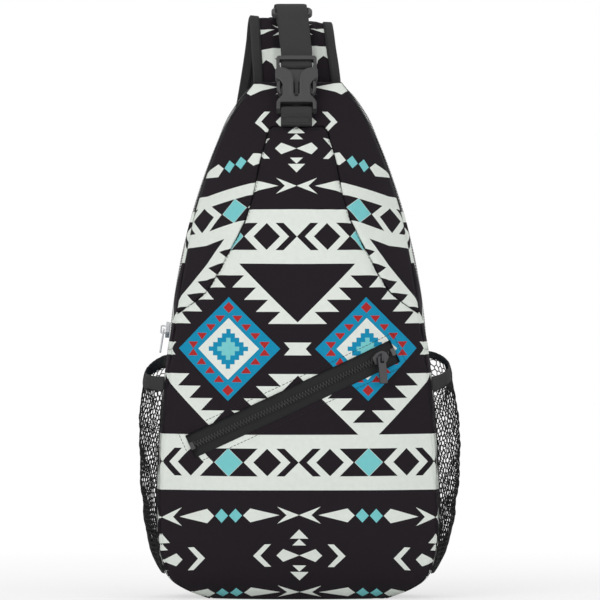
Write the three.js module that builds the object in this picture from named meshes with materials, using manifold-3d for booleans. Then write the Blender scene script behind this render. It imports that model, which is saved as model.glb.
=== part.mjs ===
// Sling backpack: a printed fabric body on a flat base, with a diagonal zip pocket, an arched main
// zipper, two net side pockets, a side release buckle and one padded strap folded down behind it.
// Millimetres, +Z up, the front towards -Y, the origin at the middle of the base.
import * as THREE from 'three';
import { mergeVertices } from 'three/addons/utils/BufferGeometryUtils.js';
import Module from 'manifold-3d';

const wasm = await Module();
wasm.setup();

// Driving dimensions of the body
const BODY_HEIGHT = 412;
const FABRIC = 1.6;
const GAP = 0.3;
const DOME_POWER = 2.5;
const SIDE_BULGE = 2;
const REAR_CORNER = 12;
const CORNER_POWER = 2.6;
const BACK_PAD = 7;
const HALF_WIDTH = [[0, 71], [6, 87], [14, 99.6], [26, 106.4], [50, 110.5], [80, 111], [158, 106.6],
  [222, 99], [294, 87], [336, 75], [374, 60], [398, 46], [412, 35]];
const FRONT_Y = [[0, -42], [8, -52], [25, -60], [60, -64], [120, -63], [200, -55], [280, -38],
  [340, -18], [380, 3], [400, 16], [412, 23]];
const FRONT_DROP = [[0, 16], [30, 28], [80, 34], [160, 35], [220, 40], [270, 48], [310, 51.8], [340, 42.4],
  [360, 32.5], [380, 21.4], [400, 8.4], [412, 1.5]];
const BACK_Y = [[0, 36], [10, 44], [30, 48], [300, 48], [380, 45], [412, 39.8]];
const GUSSET_TOP = 308;
const POCKET_BAG = { inset: 5, thickness: 0.8, reach: 0.84, rows: [62, 90, 120, 150, 180, 214] };

// The yoke sewn round the top of the front panel: its seam, and the heights on the seam and on the
// outer edge of the lines that cross it
const YOKE_SEAM_X = [[226, 99], [230, 93], [240, 79], [248, 71.6], [268, 60], [309, 40], [352, 30],
  [365, 26], [373.6, 23.6], [377, 20]];
const YOKE_LINES = [[229, 229], [235, 235], [248, 248], [268, 268], [300, 302], [330, 340], [350, 368],
  [362, 388], [370, 402], [377, BODY_HEIGHT]];
const YOKE_CROWN = [0.6, 0.2];

// Zippers
const MAIN_ZIP_START = 200;
const MAIN_ZIP_ARC_END = 386;
const MAIN_ZIP_Y = 32;
const MAIN_TAPE_WIDTH = 12;
const MAIN_TAPE_CLEARANCE = 1.5;
const FRONT_ZIP_START = [-85.7, 121.6];
const FRONT_ZIP_END = [77.2, 197.6];
const FRONT_SLOT_WIDTH = 16.6;
const FRONT_TAPE_WIDTH = 12;
const TAPE = 1;
const TAPE_INSET = 2.5;
const COIL_WIDTH = 4;
const COIL_HEIGHT = 2;
const COIL_FROM_END = 5;
const STOP = { length: 3.6, width: 6, fromEnd: 2.5 };
const SLIDER = { length: 13, width: 10, height: 3.4, lip: 1.7, play: 0.5 };
const BAIL = { span: 4.4, rise: 4.3, wire: 1.3 };
const SLIDER_OUTLINE = [[-1, -0.6], [-0.3, -1], [0.5, -1], [1, -0.45], [1, 0.45], [0.5, 1], [-0.3, 1],
  [-1, 0.6]];
const FRONT_SLIDER_LIFT = 0.7;
const MAIN_SLIDER_LIFT = 0.9;
const FRONT_SLIDER_FROM_END = 15.5;
const MAIN_SLIDER_FROM_END = 13;
const FRONT_PULL_TILT = THREE.MathUtils.degToRad(14);
const MAIN_PULL_TILT = THREE.MathUtils.degToRad(9);
const FRONT_PULL = { length: 21, width: 6.5, thickness: 1.7 };
const MAIN_PULL = { length: 19, width: 5.5, thickness: 1.5 };
const PULL_EYE = { width: 2.8, height: 3.6 };
const PULL_CORNER = 1;

// Side pockets
const POCKET_BOTTOM = 20;
const POCKET_MOUTH_FRONT = 177;
const POCKET_MOUTH_REAR = { left: 192, right: 188 };
const POCKET_BULGE = [[20, 0.6], [28, 3], [40, 7], [78, 12], [120, 16.6], [160, 15.5], [210, 11]];
const POCKET_NET = 1.4;
const BAND_HEIGHT = 12;
const BAND_THICKNESS = 2.4;

// Buckle and webbing
const WEBBING_WIDTH = 25;
const WEBBING = 1.5;
const BUCKLE_BASE = new THREE.Vector3(-1.2, 0.6, 388);
const BUCKLE_TILT = THREE.MathUtils.degToRad(29);
const BUCKLE_SLOT = 26;
const FEMALE = {
  thickness: 9,
  hollow: 28.8,
  hollowDepth: 5.2,
  hollowFrom: 13,
  window: [18, 31],
  windowDepth: 6.8,
  windowIn: 11.5,
  slot: [3.6, 8.4],
  bar: 4,
};
const FEMALE_OUTLINE = [[16, 0.6], [16, 10], [12.3, 13], [17.2, 20], [17.2, 36.6], [15.4, 38.4],
  [11, 38.4], [5, 27.4]];
const MALE = { thickness: 7, prong: 4.4, slot: [42.2, 47.6], bar: 2.8 };
const MALE_HEAD = [[16.2, 41], [16.2, 50], [15.2, 51]];
const MALE_COLLAR = [[4.6, 28], [10.8, 38.9], [16, 38.9], [16.2, 41.2]];
const MALE_GUIDE = [[2.4, 15], [3.2, 16], [3.2, 30]];
const MALE_PRONG = [[8, 39.5], [9.4, 30], [9, 20], [8, 16.5], [9, 15], [11.5, 16], [13.8, 22], [13.8, 28],
  [12.2, 29.4], [11.6, 33], [11.8, 39.5]];
const TRIGLIDE = { width: 33, height: 12, depth: 5.5, corner: 2, passage: [26.8, 3] };
const TRIGLIDE_MIDDLE = [-5, 66.8, 470.6];
const TRIGLIDE_TILT = THREE.MathUtils.degToRad(59);

// Webbing routes: the tab and the hook in the buckle's own axes, the rest in the bag's
const TAB_ROUTE = [[0, 3.6, -11], [0, 3.6, 1], [0, 3, 4.6], [0, 0, 6.2], [0, -3, 4.6], [0, -3.4, 1],
  [0, 0.4, -6], [0, 1.4, -11]];
const HOOK_ROUTE = [[0, -3.2, 58], [0, -3, 49.5], [0, -2.4, 46], [0, 0, 44.4], [0, 2.4, 46], [0, 3, 49.5]];
const OVER_FOLD_ROUTE = [[-2.4, 40, 447], [-3.8, 55, 461.5], [-4.8, 64.5, 469.5], [-5.8, 75, 474.5],
  [-7, 87, 472.5], [-8.2, 97, 460], [-9.4, 101, 444], [-10.4, 103.6, 428]];
const ANCHOR_ROUTE = [[-11.2, 102, 421.5], [-15.2, 105.8, 397]];

// Strap
const STRAP_PAD = 7;
const STRAP_EDGE = 4.5;
const BINDING_WIDTH = 8;
const STRAP_WIDTH = [[0, 71], [0.16, 67], [0.6, 66], [1, 46]];
const STRAP_ROUTE = [[0, 47.4, 398], [-1, 49.2, 415], [-3.6, 60, 440], [-5, 70, 455], [-6, 79, 460.5],
  [-7.4, 88, 456], [-9, 93.5, 440], [-17, 101, 388], [-32, 105, 310], [-52, 104, 220], [-66, 96, 150],
  [-72, 87, 118]];
const STRAP_END_DIRECTION = new THREE.Vector3(-14, -28, -84).normalize();
const ADJUSTER_FROM_PAD = 30;
const LADDER_LOCK = { width: 33, bottom: -14.5, top: 16.5, thickness: 3, corner: 3 };
const LADDER_SLOTS = { width: 26.4, heights: [[2, 13], [-11, -2]] };
const STRAP_END_ROUTE = [[0, -2.7, 29], [0, -2.7, 15], [0, -2.4, 12.4], [0, 0, 10.6], [0, 2.4, 12.4],
  [0, 2.7, 15], [0, 2.7, 29]];
const LOWER_ROUTE = [[0, -2.8, -50], [0, -2.8, -12], [0, -2.8, 0], [0, -2.2, 3.2], [0, 0, 4.6], [0, 2.2, 3.2],
  [0, 2.8, 0], [0, 2.9, -14], [0, 4, -34]];
const CORNER_TAB = { outline: [[-14, -50.5], [14, -50.5], [19, -66], [-19, -66]], front: -4.4, rear: -1.2 };

const COLOURS = {
  print: 0x2a262a, dark: 0x3a3a3a, tape: 0x232323, plastic: 0x464646, net: 0x151515, metal: 0xb9bcc0,
};

function material(color, roughness = 0.85, metalness = 0) {
  return new THREE.MeshStandardMaterial({ color, roughness, metalness });
}

const PRINTED = material(COLOURS.print);
const DARK_CLOTH = material(COLOURS.dark);
const ZIP_TAPE = material(COLOURS.tape);
const PLASTIC = material(COLOURS.plastic, 0.45);
const NET = material(COLOURS.net);
const METAL = material(COLOURS.metal, 0.3, 1);

const bag = new THREE.Group();

function add(name, geometry, finish, parent = bag) {
  const mesh = new THREE.Mesh(geometry, finish);
  mesh.name = name;
  parent.add(mesh);
  return mesh;
}

// A smooth value along stations [position, value], with straight ends
function profile(stations) {
  const slope = (i) => {
    const a = stations[Math.max(i - 1, 0)];
    const b = stations[Math.min(i + 1, stations.length - 1)];
    return (b[1] - a[1]) / (b[0] - a[0]);
  };
  return (at) => {
    let i = 0;
    while (i < stations.length - 2 && at > stations[i + 1][0]) i += 1;
    const [p, v] = stations[i];
    const [q, w] = stations[i + 1];
    const span = q - p;
    const t = THREE.MathUtils.clamp((at - p) / span, 0, 1);
    const t2 = t * t;
    const t3 = t2 * t;
    return (2 * t3 - 3 * t2 + 1) * v + (t3 - 2 * t2 + t) * span * slope(i)
      + (3 * t2 - 2 * t3) * w + (t3 - t2) * span * slope(i + 1);
  };
}

const halfWidth = profile(HALF_WIDTH);
const frontY = profile(FRONT_Y);
const frontDrop = profile(FRONT_DROP);
const backY = profile(BACK_Y);
const yokeSeamX = profile(YOKE_SEAM_X);
const pocketBulge = profile(POCKET_BULGE);
const strapWidth = profile(STRAP_WIDTH);

// The body's outline at one height, moved inwards by an inset
function ring(z, inset = 0) {
  const clearOfZip = backY(z) - MAIN_ZIP_Y - MAIN_TAPE_WIDTH / 2 - 2 * GAP;
  const corner = z < MAIN_ZIP_START ? REAR_CORNER : Math.min(REAR_CORNER, clearOfZip);
  return {
    half: halfWidth(z) - inset,
    front: frontY(z) + inset,
    seam: frontY(z) + frontDrop(z) + inset,
    rear: backY(z) - corner,
    back: backY(z) - inset,
  };
}

// Front dome, s from -1 at the left side seam to 1 at the right one
function frontPoint(s, z, inset = 0) {
  const r = ring(z, inset);
  const drop = (r.seam - r.front) * Math.abs(s) ** DOME_POWER;
  return new THREE.Vector3(s * r.half, r.front + drop, z);
}

// Side wall, t from 0 at the front seam to 1 at the rear corner
function sidePoint(side, t, z, inset = 0) {
  const r = ring(z, inset);
  const x = r.half + SIDE_BULGE * 4 * t * (1 - t);
  return new THREE.Vector3(side * x, THREE.MathUtils.lerp(r.seam, r.rear, t), z);
}

// Back with rounded corners, s from -1 at the left rear corner to 1 at the right one
function backPoint(s, z, inset = 0) {
  const r = ring(z, inset);
  const turn = s * Math.PI / 2;
  const sum = Math.abs(Math.sin(turn)) ** CORNER_POWER + Math.abs(Math.cos(turn)) ** CORNER_POWER;
  const reach = sum ** (-1 / CORNER_POWER);
  const along = r.half * reach * Math.sin(turn);
  const depth = (r.back - r.rear) * Math.min(1, 1.6 * reach * Math.cos(turn));
  return new THREE.Vector3(along, r.rear + depth, z);
}

function sideFraction(y, z) {
  const r = ring(z);
  return (y - r.seam) / (r.rear - r.seam);
}

function steps(from, to, count) {
  return Array.from({ length: count + 1 }, (_, i) => THREE.MathUtils.lerp(from, to, i / count));
}

function geometryOf(points, faces) {
  const geometry = new THREE.BufferGeometry();
  const positions = points.flatMap((p) => [p.x, p.y, p.z]);
  const outward = signedVolume(points, faces) > 0 ? faces : faces.map(([a, b, c]) => [a, c, b]);
  geometry.setAttribute('position', new THREE.Float32BufferAttribute(positions, 3));
  geometry.setIndex(outward.flat());
  return geometry;
}

function signedVolume(points, faces) {
  const cross = new THREE.Vector3();
  return faces.reduce((sum, [a, b, c]) => sum + points[a].dot(cross.crossVectors(points[b], points[c])), 0);
}

// A closed solid through sections with the same number of corners
function loft(sections) {
  const corners = sections[0].length;
  const points = sections.flat();
  const faces = [];
  for (let i = 0; i + 1 < sections.length; i += 1) {
    for (let j = 0; j < corners; j += 1) {
      const a = i * corners + j;
      const b = i * corners + (j + 1) % corners;
      faces.push([a, b, b + corners], [a, b + corners, a + corners]);
    }
  }
  const last = (sections.length - 1) * corners;
  for (let j = 1; j + 1 < corners; j += 1) faces.push([0, j + 1, j], [last, last + j, last + j + 1]);
  return geometryOf(points, faces);
}

// A sheet of cloth: each row runs along the outer face and back along the inner one
function sheet(rows, across, outer, inner) {
  const points = [];
  const faces = [];
  const width = across.length;
  rows.forEach((v) => across.forEach((u) => points.push(outer(u, v))));
  rows.forEach((v) => across.forEach((u) => points.push(inner(u, v))));
  const back = rows.length * width;
  const quad = (a, b, c, d) => faces.push([a, b, c], [a, c, d]);
  for (let i = 0; i + 1 < rows.length; i += 1) {
    for (let j = 0; j + 1 < width; j += 1) {
      const a = i * width + j;
      quad(a, a + 1, a + width + 1, a + width);
      quad(back + a, back + a + width, back + a + width + 1, back + a + 1);
    }
    const left = i * width;
    const right = left + width - 1;
    quad(left, left + width, back + left + width, back + left);
    quad(right, back + right, back + right + width, right + width);
  }
  const top = (rows.length - 1) * width;
  for (let j = 0; j + 1 < width; j += 1) {
    quad(j, back + j, back + j + 1, j + 1);
    quad(top + j, top + j + 1, back + top + j + 1, back + top + j);
  }
  return geometryOf(points, faces);
}

// A flat band along a route, as wide as width(u) from u = 0 to 1, beside its middle by offset(u)
function ribbon(route, options) {
  const { width, thickness, offset = () => 0, across = new THREE.Vector3(1, 0, 0), count = 24 } = options;
  const curve = new THREE.CatmullRomCurve3(route.map((p) => new THREE.Vector3(...p)), false, 'centripetal');
  const sections = steps(0, 1, count).map((u) => {
    const middle = curve.getPointAt(u);
    const tangent = curve.getTangentAt(u);
    const sideways = across.clone().addScaledVector(tangent, -across.dot(tangent)).normalize();
    const normal = tangent.clone().cross(sideways);
    const corner = (w, n) => middle.clone()
      .addScaledVector(sideways, offset(u) + w * width(u) / 2)
      .addScaledVector(normal, n * thickness / 2);
    return [corner(-1, -1), corner(1, -1), corner(1, 1), corner(-1, 1)];
  });
  return loft(sections);
}

// Booleans
function solid(geometry) {
  const bare = geometry.clone();
  bare.deleteAttribute('normal');
  bare.deleteAttribute('uv');
  const merged = mergeVertices(bare, 1e-4);
  const vertProperties = new Float32Array(merged.attributes.position.array);
  const triVerts = new Uint32Array(merged.index.array);
  return new wasm.Manifold(new wasm.Mesh({ numProp: 3, vertProperties, triVerts }));
}

function geometryFrom(manifold) {
  const mesh = manifold.getMesh();
  const geometry = new THREE.BufferGeometry();
  geometry.setAttribute('position', new THREE.BufferAttribute(mesh.vertProperties, 3));
  geometry.setIndex(new THREE.BufferAttribute(mesh.triVerts, 1));
  return geometry;
}

function cut(geometry, ...tools) {
  return geometryFrom(tools.reduce((body, tool) => body.subtract(solid(tool)), solid(geometry)));
}

function join(geometry, ...others) {
  return geometryFrom(others.reduce((body, other) => body.add(solid(other)), solid(geometry)));
}

function block(x0, x1, y0, y1, z0, z1) {
  const box = new THREE.BoxGeometry(x1 - x0, y1 - y0, z1 - z0);
  return box.translate((x0 + x1) / 2, (y0 + y1) / 2, (z0 + z1) / 2);
}

// A block around the Z axis, cut out as far as it reaches
function hole(width, depth, z0, z1) {
  return block(-width / 2, width / 2, -depth / 2, depth / 2, z0, z1);
}

function shapeOf(outline) {
  return new THREE.Shape(outline.map(([a, b]) => new THREE.Vector2(a, b)));
}

// An outline drawn in X and Z, given thickness along Y from y0 to y1
function plate(outline, y0, y1) {
  const shape = Array.isArray(outline) ? shapeOf(outline) : outline;
  const settings = { depth: y1 - y0, bevelEnabled: false, curveSegments: 3 };
  return new THREE.ExtrudeGeometry(shape, settings).rotateX(Math.PI / 2).translate(0, y1, 0);
}

function mirrored(half) {
  return [...half, ...half.slice().reverse().map(([x, z]) => [-x, z])];
}

function roundedRect(width, z0, z1, radius) {
  const w = width / 2;
  const shape = new THREE.Shape();
  shape.moveTo(-w + radius, z0);
  shape.lineTo(w - radius, z0);
  shape.absarc(w - radius, z0 + radius, radius, -Math.PI / 2, 0);
  shape.lineTo(w, z1 - radius);
  shape.absarc(w - radius, z1 - radius, radius, 0, Math.PI / 2);
  shape.lineTo(-w + radius, z1);
  shape.absarc(-w + radius, z1 - radius, radius, Math.PI / 2, Math.PI);
  shape.lineTo(-w, z0 + radius);
  shape.absarc(-w + radius, z0 + radius, radius, Math.PI, 1.5 * Math.PI);
  return shape;
}

// A circular track through three points, measured along its length from the first
function arcThrough(first, middle, last) {
  const a = first.clone().sub(last);
  const b = middle.clone().sub(last);
  const normal = a.clone().cross(b);
  const centre = b.clone().multiplyScalar(a.lengthSq()).addScaledVector(a, -b.lengthSq())
    .cross(normal).divideScalar(2 * normal.lengthSq()).add(last);
  const axis = normal.clone().normalize().negate();
  const radius = first.distanceTo(centre);
  const start = first.clone().sub(centre).divideScalar(radius);
  const ahead = axis.clone().cross(start);
  const endSide = last.clone().sub(centre);
  if (endSide.dot(ahead) < 0) {
    axis.negate();
    ahead.negate();
  }
  const length = radius * Math.atan2(endSide.dot(ahead), endSide.dot(start));
  const outward = (at) => start.clone().multiplyScalar(Math.cos(at / radius))
    .addScaledVector(ahead, Math.sin(at / radius));
  const tangent = (at) => ahead.clone().multiplyScalar(Math.cos(at / radius))
    .addScaledVector(start, -Math.sin(at / radius));
  const point = (at, height = 0, beside = 0) => outward(at).multiplyScalar(radius + height)
    .add(centre).addScaledVector(axis, beside);
  return { centre, axis, radius, length, outward, tangent, point };
}

// Body panels
function frontLimit(z) {
  const seam = z > YOKE_SEAM_X[0][0] ? yokeSeamX(z) : halfWidth(z);
  return (Math.min(seam, halfWidth(z)) - GAP) / halfWidth(z);
}

const frontZipPoint = ([x, z]) => frontPoint(x / halfWidth(z), z);
const frontZipMiddle = FRONT_ZIP_START.map((v, i) => (v + FRONT_ZIP_END[i]) / 2);
const frontTrack = arcThrough(
  frontZipPoint(FRONT_ZIP_START),
  frontZipPoint(frontZipMiddle),
  frontZipPoint(FRONT_ZIP_END),
);
const frontZipRun = new THREE.Vector2(...FRONT_ZIP_END).sub(new THREE.Vector2(...FRONT_ZIP_START));

function makeFrontPanel() {
  const rows = [0, 4, 10, 20, 40, 75, 110, 145, 180, 205, 226, ...YOKE_LINES.map(([onSeam]) => onSeam)];
  const face = (inset) => (u, z) => frontPoint(u * frontLimit(z), z, inset);
  const panel = sheet(rows, steps(-1, 1, 12), face(0), face(FABRIC));
  const half = frontZipRun.length() / 2 + GAP;
  const slot = block(-half, half, -90, 0, -FRONT_SLOT_WIDTH / 2, FRONT_SLOT_WIDTH / 2)
    .rotateY(-frontZipRun.angle()).translate(frontZipMiddle[0], 0, frontZipMiddle[1]);
  add('front_panel', cut(panel, slot), PRINTED);
}

function makeYoke() {
  const leg = YOKE_LINES.map(([onSeam, onEdge]) => {
    const inner = (yokeSeamX(onSeam) + GAP) / halfWidth(onSeam);
    return [inner, onSeam + GAP, 1 - GAP / halfWidth(onEdge), onEdge];
  });
  const [innerCorner, crownBottom, outerCorner, crownTop] = leg.at(-1);
  const crown = YOKE_CROWN.map((share) => [share * innerCorner, crownBottom, share * outerCorner, crownTop]);
  const half = [...leg, ...crown];
  const mirror = ([inner, low, outer, high]) => [-inner, low, -outer, high];
  const lines = [...half, ...half.slice().reverse().map(mirror)];
  const face = (inset) => (u, [inner, low, outer, high]) => {
    return frontPoint(THREE.MathUtils.lerp(inner, outer, u), THREE.MathUtils.lerp(low, high, u), inset);
  };
  add('front_yoke', sheet(lines, steps(0, 1, 4), face(0), face(FABRIC)), PRINTED);
}

function sideStrip(name, side, rows, from, to, count) {
  const limit = (z, u) => {
    const r = ring(z);
    const trim = GAP / (r.rear - r.seam);
    return THREE.MathUtils.lerp(from(z) + trim, to(z) - trim, u);
  };
  const face = (inset) => (u, z) => sidePoint(side, limit(z, u), z, inset);
  add(name, sheet(rows, steps(0, 1, count), face(0), face(FABRIC)), PRINTED);
}

function makeSides(name, side) {
  const frontOfZip = (z) => sideFraction(MAIN_ZIP_Y - MAIN_TAPE_WIDTH / 2 - MAIN_TAPE_CLEARANCE, z);
  const low = [0, 4, 10, 20, 40, 80, 125, 160, MAIN_ZIP_START - 2];
  sideStrip(`side_wall_${name}`, side, low, () => 0, () => 1, 5);
  const high = [MAIN_ZIP_START - 2 + GAP, 225, 250, 275, 295, GUSSET_TOP];
  sideStrip(`gusset_${name}`, side, high, () => 0, frontOfZip, 3);
}

function makeBack() {
  const rows = [0, 4, 10, 20, 40, 120, MAIN_ZIP_START, 250, 300, 335, 365, 388, 402, BODY_HEIGHT];
  const trim = 2 * GAP / REAR_CORNER;
  const padding = (z) => BACK_PAD * Math.min(1, z / 60 + 0.2, (BODY_HEIGHT - z) / 60 + 0.2);
  const face = (u, z) => backPoint(u, z);
  const inside = (u, z) => {
    const p = backPoint(u, z, FABRIC);
    p.y -= (padding(z) - FABRIC) * Math.min(1, 3 * (1 - Math.abs(u)));
    return p;
  };
  add('back_panel', sheet(rows, steps(-1 + trim, 1 - trim, 10), face, inside), DARK_CLOTH);
}

function makeBottom() {
  const inset = FABRIC + 2 * GAP;
  const front = steps(-1, 1, 12).map((s) => frontPoint(s, 0, inset));
  const back = steps(1, -1, 10).map((s) => backPoint(s, 0, inset));
  const outline = new THREE.Shape([...front, ...back].map((p) => new THREE.Vector2(p.x, p.y)));
  add('bottom_panel', new THREE.ExtrudeGeometry(outline, { depth: 2, bevelEnabled: false }), DARK_CLOTH);
}

// Zipper slider and pull, along X with its top facing +Z, the bail turned by an angle about Z
function sliderGeometry(bailTurn) {
  const { length, width, height, lip, play } = SLIDER;
  const outline = shapeOf(SLIDER_OUTLINE.map(([x, y]) => [x * length / 2, y * width / 2]));
  const body = new THREE.ExtrudeGeometry(outline, { depth: height, bevelEnabled: false });
  const channel = COIL_WIDTH / 2 + play;
  const hollow = block(-length, length, -channel, channel, -1, lip);
  const wire = BAIL.wire / 2;
  const half = BAIL.span / 2 + BAIL.wire;
  const foot = height - GAP;
  const top = height + BAIL.rise;
  const arch = plate(mirrored([[half, foot], [half, top - wire], [half - wire, top]]), -wire, wire);
  const inside = hole(BAIL.span, width, foot - 1, top - BAIL.wire);
  return join(cut(body, hollow), cut(arch, inside).rotateZ(bailTurn));
}

// A pull hanging down -Z from the origin, its eye's bar lying along X under the bail
function pullGeometry({ length, width, thickness }) {
  const bar = thickness / 2;
  const tab = plate(roundedRect(width, -length, bar, PULL_CORNER), -bar, bar);
  return cut(tab, hole(PULL_EYE.width, 2 * thickness, -bar - PULL_EYE.height, -bar));
}

const BAIL_HOLLOW = SLIDER.height + (BAIL.rise - BAIL.wire) / 2;

function placeOnTrack(track, at, lift) {
  const group = new THREE.Group();
  const up = track.outward(at);
  const along = track.tangent(at);
  group.position.copy(track.point(at, lift));
  group.quaternion.setFromRotationMatrix(new THREE.Matrix4().makeBasis(along, up.clone().cross(along), up));
  bag.add(group);
  return group;
}

// A pivot at the middle of a track's circle, Z along its axis, which carries the slider round the track
function trackPivot(name, track, slider) {
  const pivot = new THREE.Group();
  const start = track.outward(0);
  pivot.name = name;
  pivot.position.copy(track.centre);
  pivot.quaternion.setFromRotationMatrix(new THREE.Matrix4().makeBasis(start, track.tangent(0), track.axis));
  bag.add(pivot);
  pivot.attach(slider);
}

// A level hinge in a slider's bail, X along its axis, tipped so that the pull's foot stands off the cloth
function pullHinge(name, slider, outward, tilt) {
  const up = new THREE.Vector3(0, 0, 1);
  const axis = up.clone().cross(outward).normalize();
  const hinge = new THREE.Group();
  hinge.name = name;
  hinge.position.copy(slider.localToWorld(new THREE.Vector3(0, 0, BAIL_HOLLOW)));
  hinge.quaternion.setFromRotationMatrix(new THREE.Matrix4().makeBasis(axis, up.clone().cross(axis), up));
  hinge.rotateX(-tilt);
  bag.add(hinge);
  slider.attach(hinge);
  return hinge;
}

function makeFrontZip() {
  const run = frontZipRun.clone().normalize();
  const half = frontZipRun.length() / 2;
  const place = (along, beside, inset) => {
    const x = frontZipMiddle[0] + run.x * along - run.y * beside;
    const z = frontZipMiddle[1] + run.y * along + run.x * beside;
    return frontPoint(x / (halfWidth(z) - inset), z, inset);
  };
  const stretch = steps(-half, half, 16);
  for (const [name, side] of [['upper', 1], ['lower', -1]]) {
    const face = (inset) => (u, along) => place(along, side * u, inset);
    const across = [GAP, FRONT_TAPE_WIDTH / 2, FRONT_TAPE_WIDTH];
    const tape = sheet(stretch, across, face(TAPE_INSET), face(TAPE_INSET + TAPE));
    add(`front_zipper_tape_${name}`, tape, ZIP_TAPE);
  }
  const lengths = steps(COIL_FROM_END, frontTrack.length - COIL_FROM_END, 20);
  const corner = (at, beside, height) => frontTrack.point(at, height, beside);
  const w = COIL_WIDTH / 2;
  add('front_zipper_coil', loft(lengths.map((at) => [corner(at, -w, 0), corner(at, w, 0),
    corner(at, w, COIL_HEIGHT), corner(at, -w, COIL_HEIGHT)])), ZIP_TAPE);
  for (const [name, at] of [['bottom', STOP.fromEnd], ['top', frontTrack.length - STOP.fromEnd]]) {
    const stop = placeOnTrack(frontTrack, at, 0);
    add(`front_zipper_stop_${name}`, hole(STOP.length, STOP.width, 0, COIL_HEIGHT), PLASTIC, stop);
  }
  const sliderAt = frontTrack.length - FRONT_SLIDER_FROM_END;
  const slider = placeOnTrack(frontTrack, sliderAt, FRONT_SLIDER_LIFT);
  const bailTurn = Math.PI / 2 - frontZipRun.angle();
  add('front_zipper_slider', sliderGeometry(bailTurn), PLASTIC, slider);
  trackPivot('front_zip_pivot', frontTrack, slider);
  const hinge = pullHinge('front_pull_hinge', slider, frontTrack.outward(sliderAt), FRONT_PULL_TILT);
  add('front_zipper_pull', pullGeometry(FRONT_PULL), PLASTIC, hinge);
}

const mainTrack = arcThrough(...[MAIN_ZIP_START, (MAIN_ZIP_START + MAIN_ZIP_ARC_END) / 2, MAIN_ZIP_ARC_END]
  .map((z) => new THREE.Vector3(-halfWidth(z) - SIDE_BULGE / 2, MAIN_ZIP_Y, z)));

// The main zipper's way up the left side, over the top and down the right side
function mainZipRoute(height) {
  const leg = steps(0, mainTrack.length, 8).map((at) => mainTrack.point(at, height).toArray());
  const shoulder = [-37 - height * 0.5, MAIN_ZIP_Y, 407.5 + height * 0.8];
  const over = [-22, 0, 22].map((x) => [x, MAIN_ZIP_Y, 411.5 + height - Math.abs(x) / 44]);
  const mirror = ([x, y, z]) => [-x, y, z];
  return [...leg, shoulder, ...over, mirror(shoulder), ...leg.slice().reverse().map(mirror)];
}

function makeMainZip() {
  const across = new THREE.Vector3(0, 1, 0);
  const tape = { width: () => MAIN_TAPE_WIDTH, thickness: 1, across, count: 40 };
  add('main_zipper_tape', ribbon(mainZipRoute(-0.8), tape), ZIP_TAPE);
  const coil = { width: () => COIL_WIDTH, thickness: COIL_HEIGHT, across, count: 40 };
  add('main_zipper_coil', ribbon(mainZipRoute(COIL_HEIGHT / 2 + 0.1), coil), ZIP_TAPE);
  const slider = placeOnTrack(mainTrack, MAIN_SLIDER_FROM_END, MAIN_SLIDER_LIFT);
  add('main_zipper_slider', sliderGeometry(0), METAL, slider);
  trackPivot('main_zip_pivot', mainTrack, slider);
  const hinge = pullHinge('main_pull_hinge', slider, mainTrack.outward(MAIN_SLIDER_FROM_END), MAIN_PULL_TILT);
  add('main_zipper_pull', pullGeometry(MAIN_PULL), METAL, hinge);
}

function makeFrontPocketBag() {
  const { inset, thickness, reach, rows } = POCKET_BAG;
  const face = (depth) => (s, z) => frontPoint(s, z, depth);
  const lining = sheet(rows, steps(-reach, reach, 10), face(inset), face(inset + thickness));
  add('front_pocket_bag', lining, DARK_CLOTH);
}

// Side pockets, t from 0 at the front seam to 1 at the rear corner
function pocketPoint(side, t, z, inset) {
  const wall = sidePoint(side, THREE.MathUtils.lerp(0.03, 0.97, t), z);
  const swell = pocketBulge(z) * (4 * t * (1 - t)) ** 0.6;
  wall.x += side * (2 * GAP + swell + BAND_THICKNESS - inset);
  return wall;
}

function makePocket(name, side) {
  const mouth = (t) => THREE.MathUtils.lerp(POCKET_MOUTH_FRONT, POCKET_MOUTH_REAR[name], t * t);
  const bandBottom = (t) => mouth(t) - BAND_HEIGHT;
  const across = steps(0, 1, 8);
  const netHeight = (t, v) => THREE.MathUtils.lerp(POCKET_BOTTOM, bandBottom(t) - GAP, v);
  const netFace = (inset) => (t, v) => pocketPoint(side, t, netHeight(t, v), inset);
  const slack = BAND_THICKNESS - POCKET_NET;
  const netRows = [0, 0.06, 0.14, 0.35, 0.6, 0.8, 1];
  const net = sheet(netRows, across, netFace(slack / 2), netFace(slack / 2 + POCKET_NET));
  add(`mesh_pocket_${name}`, net, NET);
  const bandFace = (inset) => (t, v) => pocketPoint(side, t, bandBottom(t) + v * BAND_HEIGHT, inset);
  add(`pocket_band_${name}`, sheet([0, 1], across, bandFace(0), bandFace(BAND_THICKNESS)), DARK_CLOTH);
}

// Side release buckle, lying along the front's slope
const buckle = new THREE.Group();
buckle.position.copy(BUCKLE_BASE);
buckle.rotation.x = -BUCKLE_TILT;
bag.add(buckle);

// Thins the end bar of a buckle half to a share of its thickness, from z0 to z1
function barTrim(bar, z0, z1) {
  const far = FEMALE.thickness;
  const width = BUCKLE_SLOT / 2;
  return [block(-width, width, bar / 2, far, z0, z1), block(-width, width, -far, -bar / 2, z0, z1)];
}

function makeFemale() {
  const { thickness, hollow, hollowDepth, hollowFrom, window, windowDepth, windowIn, slot, bar } = FEMALE;
  const body = plate(mirrored(FEMALE_OUTLINE), -thickness / 2, thickness / 2);
  const cavity = hole(hollow, hollowDepth, hollowFrom, 2 * window[1]);
  const windows = [-1, 1].map((side) => block(windowIn, hollow, -windowDepth / 2, windowDepth / 2, ...window)
    .rotateZ(side > 0 ? 0 : Math.PI));
  const webbingSlot = hole(BUCKLE_SLOT, 2 * thickness, ...slot);
  const geometry = cut(body, cavity, ...windows, webbingSlot, ...barTrim(bar, -1, slot[0]));
  add('buckle_female', geometry, PLASTIC, buckle);
}

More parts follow.
